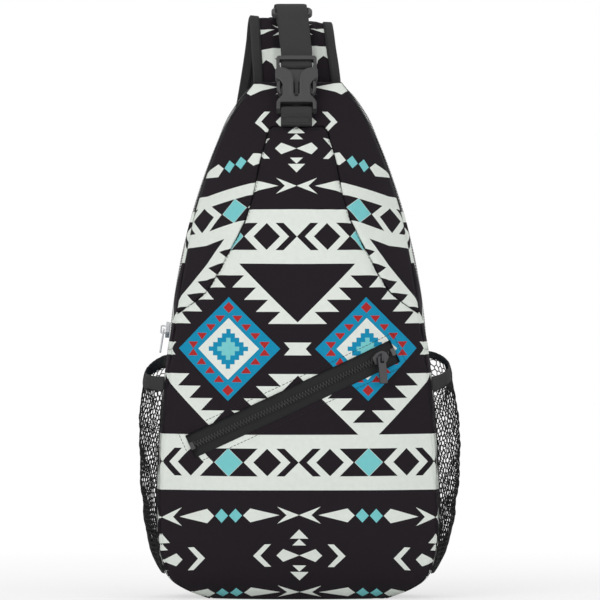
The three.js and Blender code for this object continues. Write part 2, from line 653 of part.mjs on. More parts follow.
function makeMale() {
  const { thickness, prong, slot, bar } = MALE;
  const thick = (outline) => plate(mirrored(outline), -thickness / 2, thickness / 2);
  const guide = plate(mirrored(MALE_GUIDE), -prong / 2, prong / 2);
  const prongOutline = (side) => MALE_PRONG.map(([x, z]) => [side * x, z]);
  const prongs = [-1, 1].map((side) => plate(prongOutline(side), -prong / 2, prong / 2));
  const body = join(thick(MALE_HEAD), thick(MALE_COLLAR), guide, ...prongs);
  const webbingSlot = hole(BUCKLE_SLOT, 2 * thickness, ...slot);
  add('buckle_male', cut(body, webbingSlot, ...barTrim(bar, slot[1], slot[1] + thickness)), PLASTIC, buckle);
}

function webbing(route, count) {
  return ribbon(route, { width: () => WEBBING_WIDTH, thickness: WEBBING, count });
}

function makeWebbing() {
  add('buckle_tab', webbing(TAB_ROUTE, 26), DARK_CLOTH, buckle);
  const hook = HOOK_ROUTE.map((p) => buckle.localToWorld(new THREE.Vector3(...p)).toArray());
  add('quick_release_webbing', webbing([...hook, ...OVER_FOLD_ROUTE], 48), DARK_CLOTH);
  add('webbing_anchor', webbing(ANCHOR_ROUTE, 4), DARK_CLOTH);
}

function makeTriglide() {
  const { width, height, depth, corner, passage } = TRIGLIDE;
  const frame = new THREE.Group();
  frame.position.set(...TRIGLIDE_MIDDLE);
  frame.rotation.x = -TRIGLIDE_TILT;
  bag.add(frame);
  const body = plate(roundedRect(width, -height / 2, height / 2, corner), -depth / 2, depth / 2);
  add('triglide', cut(body, hole(...passage, -height, height)), PLASTIC, frame);
}

function makeStrap() {
  const padWidth = (u) => strapWidth(u) - 2 * BINDING_WIDTH - 2 * GAP;
  const count = 28;
  add('strap_pad', ribbon(STRAP_ROUTE, { width: padWidth, thickness: STRAP_PAD, count }), PRINTED);
  for (const [name, side] of [['left', -1], ['right', 1]]) {
    const offset = (u) => side * (strapWidth(u) - BINDING_WIDTH) / 2;
    const edge = { width: () => BINDING_WIDTH, thickness: STRAP_EDGE, offset, count };
    add(`strap_binding_${name}`, ribbon(STRAP_ROUTE, edge), DARK_CLOTH);
  }
}

// Strap adjuster: ladder lock, its two webbings and the corner tab, along Z of their own group
function makeAdjuster() {
  const group = new THREE.Group();
  const up = STRAP_END_DIRECTION.clone().negate();
  const sideways = new THREE.Vector3(1, 0, 0).addScaledVector(up, -up.x).normalize();
  const end = new THREE.Vector3(...STRAP_ROUTE.at(-1));
  group.position.copy(end).addScaledVector(STRAP_END_DIRECTION, ADJUSTER_FROM_PAD);
  const basis = new THREE.Matrix4().makeBasis(sideways, up.clone().cross(sideways), up);
  group.quaternion.setFromRotationMatrix(basis);
  bag.add(group);
  const { width, bottom, top, thickness, corner } = LADDER_LOCK;
  const frame = plate(roundedRect(width, bottom, top, corner), -thickness / 2, thickness / 2);
  const slots = LADDER_SLOTS.heights.map((range) => hole(LADDER_SLOTS.width, 2 * thickness, ...range));
  add('ladder_lock', cut(frame, ...slots), PLASTIC, group);
  add('strap_end_webbing', webbing(STRAP_END_ROUTE, 22), DARK_CLOTH, group);
  add('lower_webbing', webbing(LOWER_ROUTE, 26), DARK_CLOTH, group);
  add('corner_tab', plate(CORNER_TAB.outline, CORNER_TAB.front, CORNER_TAB.rear), DARK_CLOTH, group);
}

makeFrontPanel();
makeYoke();
makeBack();
makeBottom();
for (const [name, side] of [['left', -1], ['right', 1]]) {
  makeSides(name, side);
  makePocket(name, side);
}
makeFrontZip();
makeMainZip();
makeFrontPocketBag();
makeFemale();
makeMale();
buckle.updateMatrixWorld(true);
makeWebbing();
makeTriglide();
makeStrap();
makeAdjuster();

export default bag;
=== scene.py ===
"""Visual model of a printed one-strap backpack that stands on its base.

Shapes are worked out in millimetres and stored in metres, +Z up, the front towards -Y."""
import math
from contextlib import contextmanager

import bmesh
import bpy
import numpy as np
from mathutils import Matrix, Vector
from mathutils.bvhtree import BVHTree


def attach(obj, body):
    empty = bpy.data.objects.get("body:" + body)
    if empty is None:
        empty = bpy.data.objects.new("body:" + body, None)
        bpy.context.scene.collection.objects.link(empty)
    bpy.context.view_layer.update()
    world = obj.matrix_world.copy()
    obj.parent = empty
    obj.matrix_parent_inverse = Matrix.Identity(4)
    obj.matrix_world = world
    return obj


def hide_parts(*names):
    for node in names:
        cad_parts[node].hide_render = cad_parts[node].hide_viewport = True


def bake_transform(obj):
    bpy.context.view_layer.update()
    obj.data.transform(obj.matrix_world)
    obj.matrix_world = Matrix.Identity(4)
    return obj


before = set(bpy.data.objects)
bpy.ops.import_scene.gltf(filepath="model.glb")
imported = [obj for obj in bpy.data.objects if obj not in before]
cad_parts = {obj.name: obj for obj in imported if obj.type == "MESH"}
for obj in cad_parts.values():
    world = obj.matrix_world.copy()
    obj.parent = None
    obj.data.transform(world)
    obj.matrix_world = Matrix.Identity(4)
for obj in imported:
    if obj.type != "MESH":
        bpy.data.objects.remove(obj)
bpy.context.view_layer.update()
MM = 0.001

# Body, as in the solid model
BODY_HEIGHT = 412
FABRIC = 1.6
GAP = 0.3
DOME_POWER = 2.5
SIDE_BULGE = 2
REAR_CORNER = 12
CORNER_POWER = 2.6
CORNER_FILL = 1.6
HALF_WIDTH = [[0, 71], [6, 87], [14, 99.6], [26, 106.4], [50, 110.5], [80, 111], [158, 106.6],
              [222, 99], [294, 87], [336, 75], [374, 60], [398, 46], [412, 35]]
FRONT_Y = [[0, -42], [8, -52], [25, -60], [60, -64], [120, -63], [200, -55], [280, -38],
           [340, -18], [380, 3], [400, 16], [412, 23]]
FRONT_DROP = [[0, 16], [30, 28], [80, 34], [160, 35], [220, 40], [270, 48], [310, 51.8], [340, 42.4],
              [360, 32.5], [380, 21.4], [400, 8.4], [412, 1.5]]
BACK_Y = [[0, 36], [10, 44], [30, 48], [300, 48], [380, 45], [412, 39.8]]
YOKE_SEAM_X = [[226, 99], [230, 93], [240, 79], [248, 71.6], [268, 60], [309, 40], [352, 30],
               [365, 26], [373.6, 23.6], [377, 20]]
YOKE_LINES = [[229, 229], [235, 235], [248, 248], [268, 268], [300, 302], [330, 340], [350, 368],
              [362, 388], [370, 402], [377, BODY_HEIGHT]]
SEAM_FOOT = YOKE_SEAM_X[0][0]
YOKE_FOOT = YOKE_LINES[0][0]
FRONT_TOP = YOKE_SEAM_X[-1][0]
GUSSET_TOP = 308

# Zippers
MAIN_ZIP_START = 200
MAIN_ZIP_ARC_END = 386
MAIN_ZIP_Y = 32
MAIN_TAPE_WIDTH = 12
WALL_TOP = MAIN_ZIP_START - 2
FRONT_ZIP_START = np.array([-85.7, 121.6])
FRONT_ZIP_END = np.array([77.2, 197.6])
FRONT_ZIP_MIDDLE = (FRONT_ZIP_START + FRONT_ZIP_END) / 2
FRONT_ZIP_LENGTH = float(np.linalg.norm(FRONT_ZIP_END - FRONT_ZIP_START))
FRONT_ZIP_RUN = (FRONT_ZIP_END - FRONT_ZIP_START) / FRONT_ZIP_LENGTH
FRONT_SLOT_WIDTH = 19.2
FRONT_TAPE_WIDTH = 13.2
FRONT_TAPE_DEPTH = 2.3
FRONT_TAPE_PAST_END = 3
TAPE = 0.7
FRONT_COIL_END = 4.6
FRONT_COIL_HEIGHT = 0.7
MAIN_SHOULDER = (37, 407.5)
MAIN_CREST_X = (-22, 0, 22)
MAIN_CREST_Z = 411.5
# How high the main tape and coil lie above the track, and where along it they start
MAIN_TAPE_LINE = (-2.3, -4)
MAIN_COIL_LINE = (-0.1, 0)
TOOTH_PITCH = 2.6
# Length, width and height of a tooth
TOOTH_SIZE = (2.9, 0.8, 1.7)

# Side pockets
POCKET_BOTTOM = 20
POCKET_MOUTH_FRONT = 177
POCKET_BULGE = [[20, 0.6], [28, 3], [40, 7], [78, 12], [120, 16.6], [160, 15.5], [210, 11]]
# Heights between which a net comes back to its full bulge, and how much slimmer it is below
POCKET_SLIM = {"left": (110, 180, 0.19), "right": (20, 70, 0.14)}
MOUTH_REAR = {"left": 193, "right": 196}
MOUTH_POWER = {"left": 2, "right": 1}
BAND_HEIGHT = 12
BAND_REAR_HEIGHT = {"left": 10.5, "right": 6}
BAND_THICKNESS = 2.4
NET_RIDGE = 1.25
NET_CELL = 4.2
NET_STRAND = 1.05
NET_DEPTH = 1.2
NET_UNEVEN = 0.28
NET_SEED = {"left": 61, "right": 62}
SIDES = {"left": -1, "right": 1}

# Buckle, webbing and strap
WEBBING_WIDTH = 25
WEBBING = 1.5
BUCKLE_BASE = np.array([-1.2, 0.6, 388])
BUCKLE_TILT = math.radians(29)
BUCKLE_MATRIX = Matrix.Translation(BUCKLE_BASE * MM) @ Matrix.Rotation(-BUCKLE_TILT, 4, "X")
TRIGLIDE_MIDDLE = Vector((-5, 66.8, 470.6))
TRIGLIDE_TILT = math.radians(59)
TRIGLIDE_BEHIND = 3.1
TRIGLIDE_MATRIX = (Matrix.Translation(TRIGLIDE_MIDDLE * MM) @ Matrix.Rotation(-TRIGLIDE_TILT, 4, "X")
                   @ Matrix.Translation((0, TRIGLIDE_BEHIND * MM, 0)))
LOOP_ROUTE = [[0, 5.0, 60], [0, 4.6, 54], [0, 3.9, 47], [0, 2.6, 42], [0, 0, 40.2], [0, -1.6, 41.6],
              [0, -1.5, 44], [0, 0.4, 47.2], [0, 2.4, 50.6], [0, 2.9, 55]]
TAB_LOOP = [[0, 3.4, -11], [0, 3.4, -1], [0, 3.1, 1.6], [0, 2, 3.1], [0, 0, 3.7], [0, -2, 3.1],
            [0, -3.1, 1.6], [0, -3.2, -1], [0, 0.4, -6], [0, 1.4, -11]]
TAIL_ROUTE = [[0, 2.9, 6.6], [0, 2.2, 4], [0, 0.4, 2.7], [0, -1.1, 1.2], [0, -1.1, -1.2], [0, 0.4, -2.7],
              [0, 2.2, -4], [0, 2.9, -6.6]]
TAIL_TO_BUCKLE = [[-3.9, 57.3, 458.2], [-2.8, 46, 448.4], [-2.0, 39, 442.2]]
OVER_FOLD_ROUTE = [[-2.4, 40, 447], [-3.8, 55, 461.5], [-4.8, 64.5, 469.5], [-5.8, 75, 474.5],
                   [-7, 87, 472.5], [-8.2, 97, 460], [-9.4, 101, 444], [-10.3, 101.7, 431],
                   [-11.3, 100.9, 420.5], [-12.2, 101.5, 412]]
ANCHOR_ROUTE = [[-11.2, 102, 421.5], [-15.2, 105.8, 397]]
STRAP_PAD = 7
STRAP_EDGE = 4.5
STRAP_CORE = STRAP_PAD - 1.6
STRAP_COUNT = 261
STRAP_TWIST = -0.09
BINDING_WIDTH = 8
BINDING_GRIP = 3.5
STRAP_WIDTH = [[0, 71], [0.16, 67], [0.6, 66], [1, 46]]
STRAP_ROUTE = [[0, 47.4, 398], [-1, 49.2, 415], [-3.6, 60, 440], [-5, 70, 455], [-6, 79, 460.5],
               [-7.4, 88, 456], [-9, 93.5, 440], [-17, 101, 388], [-32, 105, 310], [-52, 104, 220],
               [-66, 96, 150], [-72, 87, 118]]
STRAP_END_DIRECTION = np.array([-14, -28, -84]) / np.linalg.norm([-14, -28, -84])
ADJUSTER_FROM_PAD = 30
STRAP_END_ROUTE = [[0, -2.7, 29], [0, -2.7, 15], [0, -2.4, 12.4], [0, 0, 10.6], [0, 2.4, 12.4],
                   [0, 2.7, 15], [0, 2.7, 29]]
LOWER_ROUTE = [[0, -2.8, -50], [0, -2.8, -12], [0, -2.8, 0], [0, -2.2, 3.2], [0, 0, 4.6], [0, 2.2, 3.2],
               [0, 2.8, 0], [0, 2.9, -14], [0, 4, -34]]
# Half width, lower edge and upper edge of the tape at the strap's foot
FOOT_TAPE = (37.5, 387.0, 403.0)
FOOT_TAPE_COVER = 1.3

# Buckle halves in the buckle's axes: right half outlines, and blocks by half width, Y and Z ranges
FEMALE_OUTLINE = [(16.0, 0.6), (16.0, 6.8), (14.6, 9.8), (12.3, 12.2), (10.9, 15), (10.9, 23), (13.2, 27),
                  (16.6, 29.4), (17.0, 33), (17.0, 36.8), (15.6, 38.6), (12.6, 38.9), (9.4, 38.3),
                  (6.6, 37), (4.6, 34.8), (3.3, 32), (2.4, 27.2)]
FEMALE_CUTS = {"throat": (14.4, -2.6, 2.6, 13, 45), "front slot": (2.4, -6, -2.2, 14.4, 40),
               "webbing window": (13, -10, 10, 2.4, 7.0), "behind the bar": (13, 2.2, 10, -1, 2.5),
               "before the bar": (13, -10, -2.2, -1, 2.5), "recess": (1.5, -10, 10, 12.2, 14.0)}
FEMALE_RAIL = (13.6, -5.0, -4.0, 8.2, 9.2)
FEMALE_RIDGE = (0.45, -5.0, -4.0, 15, 27)
FEMALE_RIDGE_X = 4.1
FEMALE_DEPTH = (-4.5, 4.5)
MALE_FRAME = [(16.0, 38.9), (16.2, 41), (16.2, 48.4), (15.0, 49.6)]
MALE_DEPTH = (-3.2, 2.2)
MALE_ADDED = {"bar": ([(15.4, 46.2), (15.6, 47.4), (15.4, 49.4), (14.6, 49.8)], -3.8, 2.2),
              "collar": ([(2.2, 28.0), (9.8, 38.6), (15.8, 39), (16.0, 41.2)], 1.0, 2.4),
              "guide": ([(2.0, 15.2), (2.0, 29)], 0.8, 2.0)}
MALE_PRONG = [(7.4, 39.5), (9.0, 31), (9.2, 22), (9.8, 17), (12.4, 14.4), (13.8, 15.6), (15.2, 18.6),
              (15.9, 21.8), (15.7, 25.2), (13.4, 27.8), (13.1, 24.5), (13.1, 20.5), (12.2, 19.5),
              (11.6, 23), (11.8, 31), (11.6, 39.5)]
PRONG_PAD = MALE_PRONG[4:12]
PRONG_HALF_DEPTH = 2.2
PRONG_PAD_HALF_DEPTH = 3.6
MALE_CUTS = {"webbing window": (13.6, -10, 10, 41.4, 46.4), "front step": (13.2, -10, 0.6, 38, 42)}
# Middle, reach and half height of the triglide's round ends
TRIGLIDE_LOBE = (12.2, 4.3, 5.6)
TRIGLIDE_DEPTH = (-2.0, 2.2)
TRIGLIDE_CUTS = {"lower window": (13.0, -10, 10, -3.9, -1.2), "upper window": (13.0, -10, 10, 1.2, 3.9),
                 "before the bar": (13.0, -10, -0.2, -1.3, 1.3)}

# How rigid pieces are rounded: voxel size and smoothing passes
BUCKLE_ROUNDING = (0.36, 3)
TRIGLIDE_ROUNDING = (0.33, 4)
SMALL_ROUNDING = (0.2, 3)
LADDER_ROUNDING = (0.3, 4)
PATCH_ROUNDING = (0.4, 6)

# Cloth and padding
CLOTH = 1.1
LINING = 0.4
LINING_DEPTH = 5.2
LINING_Z = (62, 214)
LINING_REACH = 0.84
# Rings of the base, from its underside's middle round its edge to the middle of its upper face: the
# share of its outline and the height
BASE_RINGS = [(0.02, 0.5), (0.3, 0.5), (0.6, 0.5), (0.86, 0.45), (0.97, 0.0), (1.0, 0.8), (0.99, 1.9),
              (0.5, 2.0), (0.02, 2.0)]
BASE_MIDDLE = np.array([0.0, 2.0, 0.0])
SWELL_FRAMES = 20
SWELL_PRESSURE = 4.0
SWELL_SLACK = 0.014
BACK_CROWN = 1.4
BACK_SWELL = 2.6
BACK_BORDER = 20
BACK_UPRIGHT = 0.33
BACK_RISERS = (150, 262)
BACK_RISE = 0.22
STRAP_SWELL = 1.5
STITCH = 2.3
STITCH_PITCH = 3.1
STITCH_LIFT = 12
STITCH_REACH = 30
THREAD_WIDTH = 0.45
YOKE_STITCH_Z = (232, 374.6)
YOKE_STITCH_IN = 1.6
SLOT_MARGIN = 4.2
BOX_STITCH_HALF = 10.6

# Print, in units of 0.8 mm along the cloth: half a repeat across, half a repeat upwards, where its
# medallion row lies on the front, and how it runs on over the yoke and the strap
PRINT_UNIT = 0.8
PRINT_HALF_U = 70.5
PRINT_HALF_V = 209
MEDALLION_Z = 199
MEDALLION_SCALE = 1.02
MEDALLION_X = 57.0
PRINT_CURL = 0.42
PRINT_SAG = 1.6
PRINT_SAG_Z = (30, 100)
PRINT_LEAN = 0.0075
PRINT_LEAN_Z = 175
PRINT_EASE = 0.017
PRINT_EASE_Z = 237.6
YOKE_SHIFT = 30.5
YOKE_SCALE = 1.05
YOKE_EASE = 0.15
YOKE_EASE_Z = 331
YOKE_EASE_SPAN = 31
# How the yoke's print droops beyond a distance from the middle: steadily, and in a curve for a span
YOKE_DROOP = (0.15, 0.11, 0.0019)
YOKE_DROOP_FROM = 37
YOKE_DROOP_SPAN = 54
STRAP_PRINT_SCALE = (1.08, 1.27)
# Height of the white band's upper edge on the strap's front leg, and that edge's place in the print
STRAP_BAND_EDGE = (439.0, 143.0)
STRAP_EASE_FROM = 13.0
STRAP_EASE = 0.7

COLOUR = {
    "black": (34, 29, 34), "white": (229, 235, 228), "turquoise": (124, 205, 208), "blue": (24, 142, 182),
    "red": (175, 45, 45), "webbing": (62, 62, 62), "binding": (60, 60, 61), "tape": (48, 48, 49),
    "coil": (66, 66, 67), "net": (24, 24, 25), "plastic": (57, 57, 58), "back": (50, 50, 53),
    "thread": (26, 25, 27), "dark_metal": (58, 58, 60), "bright_metal": (196, 198, 200),
}

# Stage, light and camera, in metres: a lamp has a name, a place, a target, a width and its watts
VIEW_WIDTH = 0.48
VIEW_MIDDLE = Vector((0.0016, 0.0, 0.2376))
VIEW_ELEVATION = math.radians(1.0)
VIEW_DISTANCE = 8.0
WORLD_LIGHT = 0.55
FLOOR_REACH = 9e3
FLOOR_GLOW = 0.55
FLOOR_FADE_RATE = 0.5
LAMPS = [("key", (-1.1, -1.6, 1.5), (0, 0, 0.22), 1.4, 17), ("fill", (1.5, -1.3, 0.9), (0, 0, 0.2), 1.4, 7),
         ("rear", (0.4, 1.6, 1.4), (0, 0, 0.3), 1.2, 7)]


# Curves and arrays
def profile(stations):
    """A smooth value along stations [position, value], with straight ends."""
    at, value = np.array(stations, float).T
    last = len(at) - 1
    low = np.maximum(np.arange(last + 1) - 1, 0)
    high = np.minimum(np.arange(last + 1) + 1, last)
    slope = (value[high] - value[low]) / (at[high] - at[low])

    def value_at(x):
        x = np.asarray(x, float)
        i = np.clip(np.searchsorted(at, x, "left") - 1, 0, last - 1)
        span = at[i + 1] - at[i]
        t = np.clip((x - at[i]) / span, 0, 1)
        return ((2 * t**3 - 3 * t**2 + 1) * value[i] + (t**3 - 2 * t**2 + t) * span * slope[i]
                + (3 * t**2 - 2 * t**3) * value[i + 1] + (t**3 - t**2) * span * slope[i + 1])
    return value_at


half_width = profile(HALF_WIDTH)
front_y = profile(FRONT_Y)
front_drop = profile(FRONT_DROP)
back_y = profile(BACK_Y)
yoke_seam_x = profile(YOKE_SEAM_X)
pocket_bulge = profile(POCKET_BULGE)
strap_width = profile(STRAP_WIDTH)


def lerp(a, b, t):
    return a + (b - a) * t


def smoothstep(low, high, x):
    t = np.clip((np.asarray(x, float) - low) / (high - low), 0, 1)
    return t * t * (3 - 2 * t)


def fading(distance, reach):
    return np.exp(-np.maximum(distance, 0) / reach)


def unit(v):
    return v / np.maximum(np.linalg.norm(v, axis=-1, keepdims=True), 1e-9)


def stacked(*values):
    """Values side by side in the last axis, such as the coordinates of points or of cloth."""
    return np.stack(np.broadcast_arrays(*values), axis=-1).astype(float)


def grid(rows, columns):
    """The row's value and the column's value at each place of a grid."""
    return np.meshgrid(rows, columns, indexing="ij")


def steps_through(*stretches):
    """Positions along stretches (start, end, count) that follow each other, with shared ends once."""
    steps = [np.linspace(*stretch)[:-1] for stretch in stretches]
    return np.append(np.concatenate(steps), stretches[-1][1])


def closer_at_ends(count, bend):
    """Steps from -1 to 1 that lie closer together towards both ends."""
    return np.sin(np.linspace(-1, 1, count) * bend) / math.sin(bend)


def interpolated(at, run, values):
    """Rows of values known at distances along a run, worked out for other distances."""
    return np.stack([np.interp(at, run, column) for column in values.T], axis=-1)


def grid_normals(p):
    """Normals of a grid of points, pointing to the right of its rows seen along its columns."""
    return unit(np.cross(np.gradient(p, axis=1), np.gradient(p, axis=0)))


def lengths(p, axis):
    """Distance along a grid's rows (axis 1) or columns (axis 0), from its first point."""
    steps = np.linalg.norm(np.diff(p, axis=axis), axis=-1)
    start = np.zeros_like(np.take(steps, [0], axis=axis))
    return np.concatenate([start, np.cumsum(steps, axis=axis)], axis=axis)


def run_along(path):
    return lengths(path[None], 1)[0]


def ripples(u, v, wavelength, seed, count=14):
    """Soft uneven waves of about one wavelength, from -1 to 1, the same at every run."""
    random = np.random.default_rng(seed)
    total = np.zeros(np.broadcast(u, v).shape)
    for _ in range(count):
        turn = random.uniform(0, 2 * math.pi)
        wave = 2 * math.pi / (wavelength * random.uniform(0.7, 1.5))
        phase = random.uniform(0, 2 * math.pi)
        total = total + np.sin(wave * (u * math.cos(turn) + v * math.sin(turn)) + phase)
    return total / math.sqrt(2 * count)


def blended(t, start, end, a, b):
    """A straight mix that is a at the start and b at the end."""
    return (end - t) / (end - start) * a + (t - start) / (end - start) * b


def spline(route, count):
    """Points evenly spaced along a centripetal curve through a route, their tangents and its length."""
    p = np.array(route, float)
    p = np.vstack([2 * p[0] - p[1], p, 2 * p[-1] - p[-2]])
    fine = []
    for a, b, c, d in zip(p, p[1:], p[2:], p[3:]):
        spans = [np.linalg.norm(step) ** 0.5 for step in (b - a, c - b, d - c)]
        ta, tb, tc, td = np.cumsum([0.0, *spans])
        t = np.linspace(tb, tc, 40, endpoint=False)[:, None]
        middle = blended(t, tb, tc, b, c)
        before = blended(t, ta, tc, blended(t, ta, tb, a, b), middle)
        after = blended(t, tb, td, middle, blended(t, tc, td, c, d))
        fine.append(blended(t, tb, tc, before, after))
    fine = np.vstack([*fine, p[-2]])
    run = run_along(fine)
    even = interpolated(np.linspace(0, run[-1], count), run, fine)
    return even, unit(np.gradient(even, axis=0)), run[-1]


def across(tangent, direction):
    """The direction nearest to a given one that is square to each tangent, and the normal beside it."""
    direction = np.broadcast_to(np.asarray(direction, float), tangent.shape)
    sideways = unit(direction - tangent * np.sum(direction * tangent, axis=-1, keepdims=True))
    return sideways, np.cross(tangent, sideways)


# The body's surfaces
def rear_y(z):
    """Where the sides end and the back's rounded edge starts."""
    clear = back_y(z) - MAIN_ZIP_Y - MAIN_TAPE_WIDTH / 2 - 2 * GAP
    return back_y(z) - np.where(np.asarray(z) < MAIN_ZIP_START, REAR_CORNER, np.minimum(REAR_CORNER, clear))


def front_point(s, z, inset=0.0):
    """A place on the front dome, s from -1 at its left edge to 1 at its right."""
    drop = front_drop(z) * np.abs(s) ** DOME_POWER
    return stacked(s * (half_width(z) - inset), front_y(z) + inset + drop, z)


def side_seam_y(z):
    return front_y(z) + front_drop(z)


def side_point(side, t, z):
    """A place on a side, t from 0 at the front seam to 1 at the rear."""
    x = half_width(z) + SIDE_BULGE * 4 * t * (1 - t)
    return stacked(side * x, lerp(side_seam_y(z), rear_y(z), t), z)


def back_point(s, z, inset=0.0):
    """A place on the back, s from -1 to 1 round its rounded edges."""
    turn = s * math.pi / 2
    total = np.abs(np.sin(turn)) ** CORNER_POWER + np.abs(np.cos(turn)) ** CORNER_POWER
    reach = total ** (-1 / CORNER_POWER)
    depth = (back_y(z) - inset - rear_y(z)) * np.minimum(1, CORNER_FILL * reach * np.cos(turn))
    return stacked((half_width(z) - inset) * reach * np.sin(turn), rear_y(z) + depth, z)


# Meshes and pieces
def add_mesh(name, vertices, faces, uvs=None, smooth=True):
    """A mesh object from points in millimetres, with one UV pair for each point."""
    mesh = bpy.data.meshes.new(name)
    mesh.from_pydata((np.asarray(vertices, float) * MM).tolist(), [], [list(map(int, f)) for f in faces])
    if uvs is not None:
        layer = mesh.uv_layers.new(name="cloth")
        corner = np.empty(len(mesh.loops), int)
        mesh.loops.foreach_get("vertex_index", corner)
        layer.data.foreach_set("uv", np.asarray(uvs, float)[corner].ravel())
    mesh.polygons.foreach_set("use_smooth", [smooth] * len(mesh.polygons))
    mesh.update()
    return add_object(name, mesh)


def add_object(name, data):
    obj = bpy.data.objects.new(name, data)
    bpy.context.scene.collection.objects.link(obj)
    return obj


@contextmanager
def edited(obj):
    """An object's mesh opened for edits, which it keeps."""
    work = bmesh.new()
    work.from_mesh(obj.data)
    yield work
    work.to_mesh(obj.data)
    work.free()


def face_outwards(obj):
    with edited(obj) as work:
        bmesh.ops.recalc_face_normals(work, faces=work.faces)
    return obj


def face_front(obj):
    """Turns a sheet's faces so that most of them look forwards."""
    total = sum(polygon.normal.y * polygon.area for polygon in obj.data.polygons)
    if total > 0:
        obj.data.flip_normals()


def apply_modifiers(obj):
    """Keeps the shape that the modifiers give, as a plain mesh."""
    depsgraph = bpy.context.evaluated_depsgraph_get()
    mesh = bpy.data.meshes.new_from_object(obj.evaluated_get(depsgraph))
    obj.modifiers.clear()
    old = obj.data
    obj.data = mesh
    bpy.data.meshes.remove(old)
    return obj


def thicken(obj, thickness=CLOTH):
    """Gives a sheet its thickness, inwards from the side that is seen."""
    shell = obj.modifiers.new("thickness", "SOLIDIFY")
    shell.thickness = thickness * MM
    shell.offset = -1
    shell.use_even_offset = True
    return apply_modifiers(obj)


def grid_faces(rows, columns, wrap=False):
    i, j = grid(np.arange(rows - 1), np.arange(columns - (0 if wrap else 1)))
    a = i * columns + j
    b = i * columns + (j + 1) % columns
    return np.stack([a, b, b + columns, a + columns], axis=-1).reshape(-1, 4)


def tube_faces(rows, columns):
    """Faces of a closed tube through rows of corners, with its two ends."""
    ends = [list(range(columns))[::-1], [(rows - 1) * columns + j for j in range(columns)]]
    return grid_faces(rows, columns, wrap=True).tolist() + ends


def grid_mesh(name, p, uv, flipped=False):
    """An open sheet through a grid of points."""
    faces = grid_faces(*p.shape[:2])
    return add_mesh(name, p.reshape(-1, 3), faces[:, ::-1] if flipped else faces, uv.reshape(-1, 2))


def sheet_mesh(name, outer, inner, uv):
    """A closed sheet between two grids of points, both with the same cloth coordinates."""
    rows, columns = outer.shape[:2]
    count = rows * columns
    front = grid_faces(rows, columns)
    rim = np.concatenate([np.arange(columns), columns * np.arange(1, rows) + columns - 1,
                          count - 2 - np.arange(columns - 1), columns * np.arange(rows - 2, 0, -1)])
    ahead = np.roll(rim, -1)
    edge = np.stack([ahead, rim, rim + count, ahead + count], axis=-1)
    faces = np.concatenate([front, front[:, ::-1] + count, edge])
    vertices = np.concatenate([outer.reshape(-1, 3), inner.reshape(-1, 3)])
    return face_outwards(add_mesh(name, vertices, faces, np.tile(uv.reshape(-1, 2), (2, 1))))


def loft_mesh(name, sections, uv):
    """A closed tube through sections with the same number of corners."""
    faces = tube_faces(*sections.shape[:2])
    return face_outwards(add_mesh(name, sections.reshape(-1, 3), faces, uv.reshape(-1, 2)))


def piece(obj, material, replaced=(), body="bag"):
    """Gives a new piece its finish, the body it moves with and the solids it stands for."""
    obj.data.materials.clear()
    obj.data.materials.append(material)
    if replaced:
        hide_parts(*replaced)
    if body:
        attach(obj, body)
    return obj


# Materials
def connect(tree, value, socket):
    """Feeds a node's input from a field, another socket or a fixed value."""
    if isinstance(value, Field):
        value = value.socket
    if isinstance(value, bpy.types.NodeSocket):
        tree.links.new(value, socket)
    else:
        socket.default_value = value


def add_node(tree, kind, inputs=None, **settings):
    """A shader node with its settings made and its inputs fed."""
    node = tree.nodes.new(f"ShaderNode{kind}")
    for name, value in settings.items():
        setattr(node, name, value)
    for key, value in (inputs or {}).items():
        connect(tree, value, node.inputs[key])
    return node


def math_node(operation):
    """A method of a field that works out one operation, with any other values it needs."""
    def method(self, *others):
        return self.made(operation, self, *others)
    return method


class Field:
    """A value on a surface that makes Math nodes as it is worked with."""

    def __init__(self, tree, socket):
        self.tree = tree
        self.socket = socket

    def made(self, operation, *values):
        node = add_node(self.tree, "Math", dict(enumerate(values)), operation=operation)
        return Field(self.tree, node.outputs[0])

    def __rsub__(self, other):
        return self.made("SUBTRACT", other, self)

    __add__ = math_node("ADD")
    __sub__ = math_node("SUBTRACT")
    __mul__ = math_node("MULTIPLY")
    __truediv__ = math_node("DIVIDE")
    __lt__ = math_node("LESS_THAN")
    __gt__ = math_node("GREATER_THAN")
    __and__ = math_node("MULTIPLY")
    __or__ = math_node("MAXIMUM")
    __abs__ = math_node("ABSOLUTE")
    lower = math_node("MINIMUM")
    higher = math_node("MAXIMUM")
    softly_lower = math_node("SMOOTH_MIN")
    nearest = math_node("ROUND")
    floored = math_node("FLOOR")
    remainder = math_node("FLOORED_MODULO")
    folded = math_node("PINGPONG")
    sine = math_node("SINE")
    root = math_node("SQRT")


def linear(name, shade=1.0):
    """A named colour as linear light, from its values on a screen."""
    def channel(c):
        c /= 255
        return c / 12.92 if c <= 0.04045 else ((c + 0.055) / 1.055) ** 2.4
    return tuple(shade * channel(c) for c in COLOUR[name]) + (1.0,)


def mix_colour(tree, factor, a, b, kind="MIX"):
    """Mixes two colours, each a socket or a fixed colour, and returns the colour's socket."""
    return add_node(tree, "Mix", {0: factor, 6: a, 7: b}, data_type="RGBA", blend_type=kind).outputs[2]


def cloth_axes(tree):
    """The two cloth coordinates of a surface, as fields."""
    uv = add_node(tree, "UVMap", uv_map="cloth")
    split = add_node(tree, "SeparateXYZ", {0: uv.outputs[0]})
    return Field(tree, split.outputs[0]), Field(tree, split.outputs[1])


def noise_field(tree, scale):
    """Even noise through space, from about 0.25 to 0.75, with a scale in features a metre."""
    where = add_node(tree, "TexCoord").outputs["Object"]
    node = add_node(tree, "TexNoise", {"Scale": scale, "Detail": 3.0, "Roughness": 0.55, "Vector": where})
    return Field(tree, node.outputs[0])


